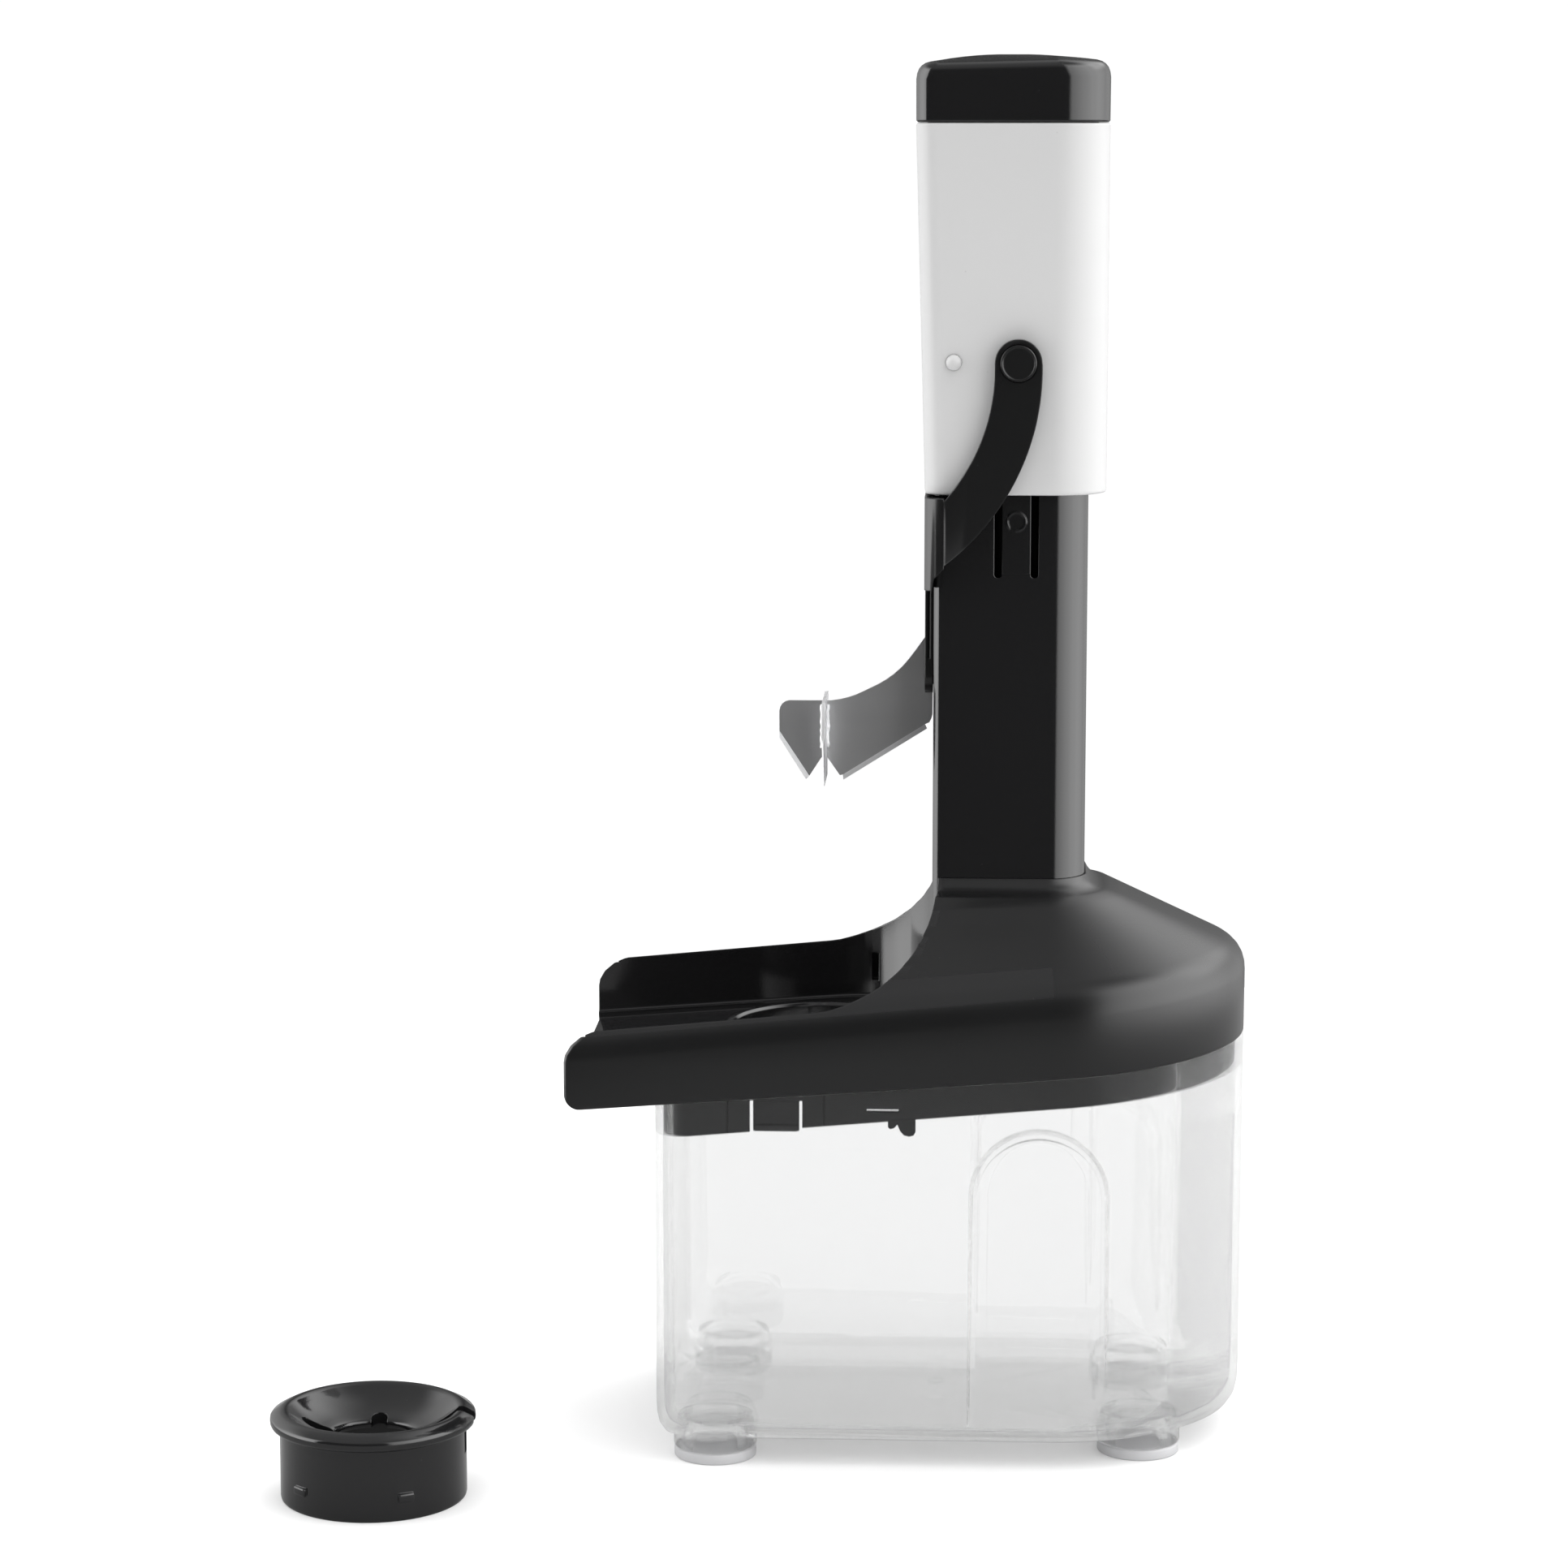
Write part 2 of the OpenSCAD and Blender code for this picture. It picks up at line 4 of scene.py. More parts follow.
import bmesh
import bpy
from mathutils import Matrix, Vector


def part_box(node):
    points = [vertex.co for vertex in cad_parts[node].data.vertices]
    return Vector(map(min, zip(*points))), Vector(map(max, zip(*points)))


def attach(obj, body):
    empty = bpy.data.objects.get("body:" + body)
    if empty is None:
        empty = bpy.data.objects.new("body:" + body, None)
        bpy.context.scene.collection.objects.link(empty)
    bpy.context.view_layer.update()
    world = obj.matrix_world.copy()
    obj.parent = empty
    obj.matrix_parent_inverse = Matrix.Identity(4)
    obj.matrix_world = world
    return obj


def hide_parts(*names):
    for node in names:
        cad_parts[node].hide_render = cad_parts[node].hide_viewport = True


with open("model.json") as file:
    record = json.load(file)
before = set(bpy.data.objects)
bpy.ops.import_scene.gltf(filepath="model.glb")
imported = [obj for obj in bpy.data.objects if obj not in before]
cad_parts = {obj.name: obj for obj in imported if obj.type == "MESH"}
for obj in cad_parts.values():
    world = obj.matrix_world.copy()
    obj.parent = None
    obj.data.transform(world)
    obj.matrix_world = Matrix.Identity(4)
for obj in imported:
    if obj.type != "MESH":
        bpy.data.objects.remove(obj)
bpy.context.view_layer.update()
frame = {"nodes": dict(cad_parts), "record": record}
record = frame["record"]

# Lengths below are millimetres from the tower's axis (x), the middle plane (y) and the table (z).
rod_low, rod_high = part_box("guide_rod")
axis_x = (rod_low.x + rod_high.x) / 2
axis_y = (rod_low.y + rod_high.y) / 2
ring_low, ring_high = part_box("ring_insert")
ring_x = ((ring_low.x + ring_high.x) / 2 - axis_x) * 1000
ring_y = ((ring_low.y + ring_high.y) / 2 - axis_y) * 1000

BAND_TILT = math.tan(math.radians(5.5))
RIM_TILT = math.tan(math.radians(4.3))
LEFT_END = -112.5  # the trough's outlet
NECK_Z = 144.6  # where the roof meets the hollow curve at the tower's foot
HOLE_X = -48  # middle of the hole in the tray, and of both blades
HOLE_R = 23.7
TOWER_LOW = 103.5
TOWER_TOP = 262
GAP_LOW = 227.5  # bottom of the windows round the release tongues
SLEEVE_LOW = 248
SLEEVE_LONG = 93.7
SLEEVE_TOP = SLEEVE_LOW + SLEEVE_LONG
CAP_TOP = 359
PIN_X, PIN_Z = 1.7, 281.7
PEG_X = -14.7
YOKE_LEFT = -21.9
BLADE_BACK = 192.2  # underside of the blade's bridge
BLADE_TIP = 171.3
WHOLE_TURN = 2 * math.pi
STILL = {"value": (0, 0, 0)}


def band_line(x):
    return 122.5 + x * BAND_TILT


def rim_line(x):
    return 101.5 + x * RIM_TILT


# ---- workshop: selecting, shaping, cutting ----


def hands_off():
    if bpy.context.mode != "OBJECT":
        bpy.ops.object.mode_set(mode="OBJECT")
    bpy.ops.object.select_all(action="DESELECT")


def take(obj):
    hands_off()
    obj.select_set(True)
    bpy.context.view_layer.objects.active = obj


def open_up(obj):
    take(obj)
    bpy.ops.object.mode_set(mode="EDIT")
    bpy.ops.mesh.select_mode(type="FACE")


def pick(kind, wanted):
    bpy.ops.mesh.select_mode(type=kind)
    bpy.ops.mesh.select_all(action="DESELECT")
    mesh = bpy.context.edit_object.data
    shape = bmesh.from_edit_mesh(mesh)
    items = {"VERT": shape.verts, "EDGE": shape.edges, "FACE": shape.faces}[kind]
    shape.normal_update()
    for item in items:
        item.select_set(bool(wanted(item)))
    shape.select_flush_mode()
    bmesh.update_edit_mesh(mesh)


def middle(edge):
    return (edge.verts[0].co + edge.verts[1].co) / 2


def is_level(edge):
    return abs(edge.verts[0].co.z - edge.verts[1].co.z) < 0.01


def fixed(obj, name):
    """The piece's place goes into its mesh, and the object stands at the origin."""
    take(obj)
    obj.name = name
    bpy.ops.object.transform_apply(location=True, rotation=True, scale=True)
    return obj


def brick(name, low, high):
    """A box from its lowest to its highest corner."""
    hands_off()
    where = [(a + b) / 2 for a, b in zip(low, high)]
    bpy.ops.mesh.primitive_cube_add(size=1, location=where)
    obj = bpy.context.object
    obj.scale = [b - a for a, b in zip(low, high)]
    return fixed(obj, name)


def rod(name, where, radius, length, along="Z", sides=96, small=None):
    """A round bar or a cone with its middle at a place."""
    hands_off()
    turn = {"Z": (0, 0, 0), "Y": (math.pi / 2, 0, 0), "X": (0, math.pi / 2, 0)}[along]
    bpy.ops.mesh.primitive_cone_add(
        vertices=sides,
        radius1=radius,
        radius2=radius if small is None else small,
        depth=length,
        location=where,
        rotation=turn,
    )
    return fixed(bpy.context.object, name)


def drawn(name, places):
    """A chain of edges drawn from corner to corner, left open for editing."""
    hands_off()
    bpy.ops.mesh.primitive_plane_add(size=1, location=places[0])
    obj = fixed(bpy.context.object, name)
    open_up(obj)
    bpy.ops.mesh.select_mode(type="VERT")
    bpy.ops.mesh.select_all(action="SELECT")
    bpy.ops.mesh.merge(type="CENTER")
    for last, here in zip(places, places[1:]):
        bpy.ops.mesh.extrude_region_move(TRANSFORM_OT_translate={"value": here - last})
    bpy.ops.mesh.select_all(action="SELECT")
    return obj


def traced(name, points, plane, depth_from, depth_to):
    """An outline followed point by point, filled and given its thickness."""
    if plane == "XZ":
        places = [Vector((a, depth_from, b)) for a, b in points]
    else:
        places = [Vector((depth_from, a, b)) for a, b in points]
    obj = drawn(name, places)
    bpy.ops.mesh.edge_face_add()
    step = depth_to - depth_from
    way = (0, step, 0) if plane == "XZ" else (step, 0, 0)
    bpy.ops.mesh.extrude_region_move(TRANSFORM_OT_translate={"value": way})
    bpy.ops.mesh.select_all(action="SELECT")
    bpy.ops.mesh.normals_make_consistent(inside=False)
    hands_off()
    return obj


class Outline:
    """A rectangle with its own corner radius at each end, seen from above."""

    def __init__(self, left, right, half, left_round, right_round):
        self.sizes = (left, right, half, left_round, right_round)

    def grown(self, by):
        left, right, half, a, b = self.sizes
        return Outline(left - by, right + by, half + by, max(a + by, 0.3), max(b + by, 0.3))

    def mixed(self, other, share):
        return Outline(*[p + (q - p) * share for p, q in zip(self.sizes, other.sizes)])

    def key(self, co):
        left, right, half, a, b = self.sizes
        side = 1 if co.x > (left + a + right - b) / 2 else -1
        hand = 1 if co.y > 1e-5 else (-1 if co.y < -1e-5 else 0)
        cx = right - b if side > 0 else left + a
        cy = (half - (b if side > 0 else a)) * hand
        return side, hand, math.atan2(co.y - cy, co.x - cx)

    def point(self, key):
        left, right, half, a, b = self.sizes
        side, hand, angle = key
        r = b if side > 0 else a
        cx = right - r if side > 0 else left + r
        return cx + r * math.cos(angle), (half - r) * hand + r * math.sin(angle)


def level(z):
    return lambda x, y, key=None: z


def above(line, up=0.0):
    return lambda x, y, key=None: line(x) + up


def ringed(name, start, z_start, rings, left_steps=8, right_steps=12, open_ends=False):
    """A plate cut to an outline and extruded ring by ring, each time to the next outline and height."""
    hands_off()
    left, right, half, a, b = start.sizes
    bpy.ops.mesh.primitive_plane_add(size=2, location=((left + right) / 2, 0, 0))
    obj = bpy.context.object
    obj.scale = ((right - left) / 2, half, 1)
    fixed(obj, name)
    open_up(obj)
    mid = (left + right) / 2
    pick("VERT", lambda v: v.co.x < mid)
    bpy.ops.mesh.bevel(offset=a, segments=left_steps, affect="VERTICES", clamp_overlap=False)
    pick("VERT", lambda v: v.co.x > right - 0.01)
    bpy.ops.mesh.bevel(offset=b, segments=right_steps, affect="VERTICES", clamp_overlap=False)
    bpy.ops.mesh.select_all(action="SELECT")
    bpy.ops.mesh.remove_doubles(threshold=0.02)
    shape = bmesh.from_edit_mesh(obj.data)
    for v in shape.verts:
        v.co.z = z_start(v.co.x, v.co.y)
    bmesh.update_edit_mesh(obj.data)
    now = start
    bpy.ops.mesh.select_mode(type="FACE")
    bpy.ops.mesh.select_all(action="SELECT")
    for then, height in rings:
        bpy.ops.mesh.extrude_region_move(TRANSFORM_OT_translate=STILL)
        shape = bmesh.from_edit_mesh(obj.data)
        for v in shape.verts:
            if v.select:
                key = now.key(v.co)
                x, y = then.point(key)
                v.co = (x, y, height(x, y, key))
        bmesh.update_edit_mesh(obj.data)
        now = then
    if open_ends:
        bpy.ops.mesh.select_mode(type="FACE")
        bpy.ops.mesh.delete(type="ONLY_FACE")
        corners = 2 * (left_steps + right_steps) + 2
        pick("FACE", lambda f: len(f.verts) > corners - 4)
        bpy.ops.mesh.delete(type="ONLY_FACE")
        bpy.ops.mesh.select_all(action="SELECT")
        bpy.ops.mesh.remove_doubles(threshold=0.01)
    bpy.ops.mesh.select_all(action="SELECT")
    bpy.ops.mesh.normals_make_consistent(inside=False)
    hands_off()
    return obj


def combine(target, tool, how="DIFFERENCE"):
    """Cuts, adds or intersects with a tool, which is used up."""
    take(target)
    step = target.modifiers.new("cut", "BOOLEAN")
    step.operation = how
    step.solver = "EXACT"
    step.object = tool
    bpy.ops.object.modifier_apply(modifier=step.name)
    bpy.data.objects.remove(tool)
    return target


def softened(obj, width, steps=3, angle=32):
    """Rounds every edge sharper than an angle."""
    take(obj)
    edge = obj.modifiers.new("soft_edge", "BEVEL")
    edge.width = width
    edge.segments = steps
    edge.limit_method = "ANGLE"
    edge.angle_limit = math.radians(angle)
    edge.miter_outer = "MITER_ARC"
    bpy.ops.object.modifier_apply(modifier=edge.name)
    return obj


def even_shading(obj):
    """Large flat faces stay flat: lets the bigger faces set the shading."""
    take(obj)
    bpy.ops.object.shade_smooth_by_angle(angle=math.radians(40))
    step = obj.modifiers.new("even", "WEIGHTED_NORMAL")
    step.keep_sharp = True
    step.weight = 90
    bpy.ops.object.modifier_apply(modifier=step.name)
    return obj


def joined(name, objs):
    hands_off()
    for obj in objs:
        obj.select_set(True)
    bpy.context.view_layer.objects.active = objs[0]
    bpy.ops.object.join()
    objs[0].name = name
    return objs[0]


def mirrored_copy(obj, name):
    """The same piece on the far side of the middle plane, with its own mesh."""
    take(obj)
    bpy.ops.object.duplicate()
    twin = bpy.context.object
    twin.name = name
    open_up(twin)
    bpy.ops.mesh.select_all(action="SELECT")
    bpy.ops.transform.resize(value=(1, -1, 1), center_override=(0, 0, 0))
    bpy.ops.mesh.normals_make_consistent(inside=False)
    hands_off()
    return twin


def delivered(obj, finish, body, *nodes, smooth=30, shift=(0, 0)):
    """Smooths, scales from millimetres to metres, sets the piece in place and gives it its finish."""
    take(obj)
    if not obj.data.has_custom_normals:
        bpy.ops.object.shade_smooth_by_angle(angle=math.radians(smooth))
    obj.scale = (0.001, 0.001, 0.001)
    obj.location = (axis_x + shift[0] / 1000, axis_y + shift[1] / 1000, 0)
    bpy.ops.object.transform_apply(location=True, rotation=True, scale=True)
    if not obj.data.materials:
        obj.data.materials.append(finishes[finish])
    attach(obj, body)
    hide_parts(*nodes)
    hands_off()
    return obj


# ---- finishes ----


def sockets(group, way, **kinds):
    for name, kind in kinds.items():
        group.interface.new_socket(name=name, in_out=way, socket_type="NodeSocket" + kind)


def grey(value):
    return (value, value, value)


def grain_group():
    """Fine moulded or ground surface: a small height, and a patchy change of gloss."""
    group = bpy.data.node_groups.new("surface_grain", "ShaderNodeTree")
    sockets(group, "INPUT", Vector="Vector", Fine="Float", Wide="Float", Gloss="Float", Change="Float")
    sockets(group, "OUTPUT", Height="Float", Roughness="Float")
    nodes, links = group.nodes, group.links
    entry = nodes.new("NodeGroupInput")
    leave = nodes.new("NodeGroupOutput")
    fine = nodes.new("ShaderNodeTexNoise")
    fine.inputs["Detail"].default_value = 3
    wide = nodes.new("ShaderNodeTexNoise")
    wide.inputs["Detail"].default_value = 2
    links.new(entry.outputs["Vector"], fine.inputs["Vector"])
    links.new(entry.outputs["Vector"], wide.inputs["Vector"])
    links.new(entry.outputs["Fine"], fine.inputs["Scale"])
    links.new(entry.outputs["Wide"], wide.inputs["Scale"])
    both = nodes.new("ShaderNodeMath")
    both.operation = "MULTIPLY_ADD"
    both.inputs[1].default_value = 0.35
    links.new(fine.outputs["Fac"], both.inputs[0])
    links.new(wide.outputs["Fac"], both.inputs[2])
    links.new(both.outputs["Value"], leave.inputs["Height"])
    patch = nodes.new("ShaderNodeMath")
    patch.operation = "MULTIPLY_ADD"
    links.new(wide.outputs["Fac"], patch.inputs[0])
    links.new(entry.outputs["Change"], patch.inputs[1])
    links.new(entry.outputs["Gloss"], patch.inputs[2])
    links.new(patch.outputs["Value"], leave.inputs["Roughness"])
    return group


def tint_group():
    """A slow, slight change between two shades over the surface, with scattered fine specks."""
    group = bpy.data.node_groups.new("shade_variation", "ShaderNodeTree")
    sockets(group, "INPUT", Vector="Vector", Scale="Float", First="Color", Second="Color", Speck="Color")
    sockets(group, "OUTPUT", Color="Color")
    nodes, links = group.nodes, group.links
    entry = nodes.new("NodeGroupInput")
    leave = nodes.new("NodeGroupOutput")
    slow = nodes.new("ShaderNodeTexNoise")
    slow.inputs["Detail"].default_value = 2
    links.new(entry.outputs["Vector"], slow.inputs["Vector"])
    links.new(entry.outputs["Scale"], slow.inputs["Scale"])
    blend = nodes.new("ShaderNodeMix")
    blend.data_type = "RGBA"
    links.new(slow.outputs["Fac"], blend.inputs["Factor"])
    links.new(entry.outputs["First"], blend.inputs["A"])
    links.new(entry.outputs["Second"], blend.inputs["B"])
    cells = nodes.new("ShaderNodeTexVoronoi")
    cells.inputs["Scale"].default_value = 160
    links.new(entry.outputs["Vector"], cells.inputs["Vector"])
    tiny = nodes.new("ShaderNodeMapRange")
    tiny.inputs["From Min"].default_value = 0.035
    tiny.inputs["From Max"].default_value = 0.02
    links.new(cells.outputs["Distance"], tiny.inputs["Value"])
    dust = nodes.new("ShaderNodeMix")
    dust.data_type = "RGBA"
    links.new(tiny.outputs["Result"], dust.inputs["Factor"])
    links.new(blend.outputs["Result"], dust.inputs["A"])
    links.new(entry.outputs["Speck"], dust.inputs["B"])
    links.new(dust.outputs["Result"], leave.inputs["Color"])
    return group


GRAIN = grain_group()
TINT = tint_group()


def finish_of(name, shades, speck, gloss, change, fine, wide, bump, stretch=(1, 1, 1), edge=0.0):
    """One finish: shader, colour variation, grain and a soft edge for the light to catch."""
    made = bpy.data.materials.new(name)
    made.use_nodes = True
    nodes, links = made.node_tree.nodes, made.node_tree.links
    shader = nodes["Principled BSDF"]
    where = nodes.new("ShaderNodeTexCoord")
    lay = nodes.new("ShaderNodeMapping")
    lay.inputs["Scale"].default_value = stretch
    links.new(where.outputs["Object"], lay.inputs["Vector"])
    tint = nodes.new("ShaderNodeGroup")
    tint.node_tree = TINT
    tint.inputs["Scale"].default_value = 18
    tint.inputs["First"].default_value = (*shades[0], 1)
    tint.inputs["Second"].default_value = (*shades[1], 1)
    tint.inputs["Speck"].default_value = (*speck, 1)
    grain = nodes.new("ShaderNodeGroup")
    grain.node_tree = GRAIN
    grain.inputs["Fine"].default_value = fine
    grain.inputs["Wide"].default_value = wide
    grain.inputs["Gloss"].default_value = gloss
    grain.inputs["Change"].default_value = change
    for group in (tint, grain):
        links.new(lay.outputs["Vector"], group.inputs["Vector"])
    links.new(tint.outputs["Color"], shader.inputs["Base Color"])
    links.new(grain.outputs["Roughness"], shader.inputs["Roughness"])
    lift = nodes.new("ShaderNodeBump")
    lift.inputs["Strength"].default_value = 1.0
    lift.inputs["Distance"].default_value = bump
    links.new(grain.outputs["Height"], lift.inputs["Height"])
    links.new(lift.outputs["Normal"], shader.inputs["Normal"])
    if edge:
        soft = nodes.new("ShaderNodeBevel")
        soft.samples = 6
        soft.inputs["Radius"].default_value = edge
        links.new(soft.outputs["Normal"], lift.inputs["Normal"])
    return made, shader


def gloss_black():
    made, shader = finish_of(
        "gloss_black_plastic",
        shades=((0.007, 0.007, 0.0074), (0.0092, 0.0092, 0.0095)),
        speck=grey(0.02),
        gloss=0.07,
        change=0.05,
        fine=2600,
        wide=28,
        bump=0.00002,
        edge=0.0004,
    )
    shader.inputs["IOR"].default_value = 1.5
    return made


def satin_black():
    made, shader = finish_of(
        "satin_black_plastic",
        shades=((0.0045, 0.0045, 0.0048), (0.0062, 0.0062, 0.0065)),
        speck=grey(0.018),
        gloss=0.25,
        change=0.07,
        fine=3200,
        wide=34,
        bump=0.00003,
        edge=0.0005,
    )
    shader.inputs["IOR"].default_value = 1.48
    return made


def satin_white():
    made, shader = finish_of(
        "satin_white_plastic",
        shades=(grey(0.53), grey(0.555)),
        speck=grey(0.45),
        gloss=0.3,
        change=0.08,
        fine=2400,
        wide=30,
        bump=0.000025,
        edge=0.0005,
    )
    shader.inputs["Specular IOR Level"].default_value = 0.25
    shader.inputs["Subsurface Weight"].default_value = 0.15
    shader.inputs["Subsurface Radius"].default_value = (0.003, 0.003, 0.003)
    return made


def blade_steel():
    made, shader = finish_of(
        "blade_steel",
        shades=((0.42, 0.42, 0.425), (0.48, 0.48, 0.485)),
        speck=grey(0.56),
        gloss=0.38,
        change=0.1,
        fine=900,
        wide=120,
        bump=0.00001,
        stretch=(0.25, 1, 6),
        edge=0.0001,
    )
    shader.inputs["Metallic"].default_value = 1.0
    return made


def ground_steel():
    made, shader = finish_of(
        "ground_steel",
        shades=((0.9, 0.9, 0.91), (0.96, 0.96, 0.97)),
        speck=grey(0.98),
        gloss=0.46,
        change=0.1,
        fine=1400,
        wide=160,
        bump=0.00001,
        stretch=(6, 1, 1),
        edge=0.0001,
    )
    shader.inputs["Metallic"].default_value = 1.0
    return made


def clear_plastic():
    made, shader = finish_of(
        "clear_plastic",
        shades=((0.975, 0.98, 0.98), (0.985, 0.99, 0.99)),
        speck=grey(0.95),
        gloss=0.01,
        change=0.02,
        fine=900,
        wide=14,
        bump=0.00002,
    )
    shader.inputs["Transmission Weight"].default_value = 1.0
    shader.inputs["IOR"].default_value = 1.42
    shader.inputs["Alpha"].default_value = 0.42
    return made


def soft_pad():
    made, _ = finish_of(
        "soft_pad_rubber",
        shades=((0.46, 0.46, 0.47), (0.51, 0.51, 0.52)),
        speck=grey(0.42),
        gloss=0.45,
        change=0.12,
        fine=2200,
        wide=60,
        bump=0.00004,
    )
    return made


finishes = {
    "clear_plastic": clear_plastic(),
    "gloss_black": gloss_black(),
    "satin_black": satin_black(),
    "satin_white": satin_white(),
    "blade_steel": blade_steel(),
    "ground_steel": ground_steel(),
    "soft_pad": soft_pad(),
}
finish_for_slot = {
    "clear_plastic": "clear_plastic",
    "black_gloss": "gloss_black",
    "black_satin": "satin_black",
    "white_satin": "satin_white",
    "steel": "ground_steel",
    "soft_pad": "soft_pad",
}
for part in record["subparts"]:
    node = frame["nodes"][part["node"]]
    node.data.materials.clear()
    node.data.materials.append(finishes[finish_for_slot[part["material_slot"]]])


# ---- container ----

POT = Outline(-90, 62.5, 50.5, 10, 50.5)
POT_TOP = 118  # before the slanted rim is cut
FEET = [(-74.7, -39.5), (35, -30.5), (-74.7, 39.5), (35, 30.5)]


def arch_cutter(name, left, right, bottom, top, y_from, y_to):
    r = (right - left) / 2
    points = [(left, bottom), (right, bottom), (right, top - r)]
    for i in range(1, 24):
        a = math.pi * i / 24
        points.append(((left + right) / 2 + r * math.cos(a), top - r + r * math.sin(a)))
    points.append((left, top - r))
    return traced(name, points, "XZ", y_from, y_to)


def thumb_shape(name, left, right, bottom, top, hand, deep, shallow, far, soften):
    """An arch-topped recess: upright at the top, and sloping out to the wall below the bend."""
    bend = 36
    ends = sorted((hand * deep, hand * far))
    shape = arch_cutter(name, left, right, bottom, top, ends[0], ends[1])
    open_up(shape)
    bpy.ops.mesh.select_all(action="SELECT")
    bpy.ops.mesh.bisect(plane_co=(0, 0, bend), plane_no=(0, 0, 1))

    def round_the_arch(edge):
        place = middle(edge)
        return abs(abs(place.y) - deep) < 0.1 and abs(place.z - bend) > 0.5 and place.z > bottom + 1

    pick("EDGE", round_the_arch)
    bpy.ops.mesh.bevel(offset=soften, segments=5, affect="EDGES")
    mesh = bmesh.from_edit_mesh(shape.data)
    for v in mesh.verts:
        if v.co.z < bottom + 0.1 and abs(v.co.y) < shallow:
            v.co.y = hand * shallow
    bmesh.update_edit_mesh(shape.data)
    hands_off()
    return shape


def container():
    outer = ringed(
        "container",
        POT.grown(-7),
        level(6),
        [
            (POT.grown(-4.4), level(6.3)),
            (POT.grown(-2.2), level(7.3)),
            (POT.grown(-0.9), level(9.2)),
            (POT.grown(-0.25), level(12)),
            (POT.grown(-0.1), level(16)),
            (POT, level(POT_TOP)),
        ],
        10,
        32,
    )
    for x, y in FEET:
        foot = rod("foot", (x, y, 9), 10.75, 12.4, sides=64)
        open_up(foot)
        pick("EDGE", lambda e: middle(e).z < 3 and is_level(e))
        bpy.ops.mesh.bevel(offset=0.7, segments=3, affect="EDGES")
        hands_off()
        combine(outer, foot, "UNION")
    for hand in (-1, 1):
        notch = thumb_shape("notch", -7.5, 24.5, 13, 87, hand, deep=45.6, shallow=50.3, far=60, soften=3.2)
        combine(outer, notch)
    inner_line = POT.grown(-2)
    inner = ringed(
        "inside",
        inner_line.grown(-6),
        level(8.2),
        [
            (inner_line.grown(-3.4), level(8.6)),
            (inner_line.grown(-1.5), level(9.8)),
            (inner_line.grown(-0.4), level(12)),
            (inner_line.grown(-0.1), level(16)),
            (inner_line, level(POT_TOP + 5)),
        ],
        10,
        32,
    )
    for hand in (-1, 1):
        wall = thumb_shape("notch_wall", -9.5, 26.5, 5, 89, hand, deep=43.6, shallow=48.1, far=55, soften=3.6)
        combine(inner, wall)
    for x, y in FEET:
        combine(inner, rod("boss", (x, y, 8.5), 10.4, 4.6, sides=64, small=9.7))
        combine(inner, rod("boss_dish", (x, y, 11.0), 7.6, 2.4, sides=64, small=8.4), "UNION")
    combine(outer, inner)
    for x, y in FEET:
        combine(outer, rod("foot_hollow", (x, y, 4.6), 8.7, 6.4, sides=64, small=8.3))
    lid = brick("lid", (-200, -100, 0), (200, 100, 60))
    open_up(lid)
    bpy.ops.mesh.select_all(action="SELECT")
    shape = bmesh.from_edit_mesh(lid.data)
    for v in shape.verts:
        v.co.z += rim_line(v.co.x)
    bmesh.update_edit_mesh(lid.data)
    hands_off()
    combine(outer, lid)
    # gate mark on the floor
    combine(outer, rod("gate", (-18, 0, 8.4), 2.4, 0.7, sides=32, small=2.0), "UNION")
    delivered(outer, "clear_plastic", "base", "container", smooth=35)


def foot_pads():
    for name, (x, y) in zip(("fl", "fr", "bl", "br"), FEET):
        pad = rod("pad_" + name, (x, y, 1.4), 10.6, 2.8, sides=64)
        open_up(pad)
        pick("FACE", lambda f: f.normal.z < -0.9)
        bpy.ops.mesh.inset(thickness=2.2, depth=0)
        bpy.ops.mesh.inset(thickness=0.6, depth=-0.8)
        pick("EDGE", lambda e: is_level(e) and (middle(e).xy - Vector((x, y))).length > 10)
        bpy.ops.mesh.bevel(offset=0.5, segments=3, affect="EDGES")
        delivered(pad, "soft_pad", "base", "foot_pad_" + name)


# ---- hopper ----

TRAY = Outline(LEFT_END, 62.5, 50.5, 1.0, 50.5)
POST = Outline(-19.5, 20, 18, 2.5, 10)
WRAP = {"left_steps": 4, "right_steps": 24}  # steps in the tray's corners
COLLAR_R = 25.9


def climb(base, share, top, drop=0.0, lift=0.0):
    """Height on the way from the band, less a drop, to the neck, along each line of the loft."""

    def height(x, y, key):
        start = band_line(base.point(key)[0])
        return start - drop + lift + (top - start + drop) * share

    return height


def hopper_outside(base):
    """Rings of the outer skin: band, soft crease, roof, and the hollow curve up to the tower."""
    collar = POST.grown(6.5)
    rings = [(base, above(band_line, -6))]
    for s in (0.15, 0.35, 0.55, 0.75, 0.9, 1.0):
        share = 0.16 * s * s
        low = -6 * (1 - s) * (1 - s)
        rings.append((base.mixed(collar, share), climb(base, share, NECK_Z, lift=low)))
    for share in (0.3, 0.45, 0.6, 0.75, 0.9, 1.0):
        rings.append((base.mixed(collar, share), climb(base, share, NECK_Z)))
    neck = ((5.2, 144.85), (4.0, 145.15), (2.9, 145.65), (1.9, 146.4), (1.2, 147.25), (0.75, 148.1))
    for out, z in neck:
        rings.append((POST.grown(out), level(z)))
    return rings


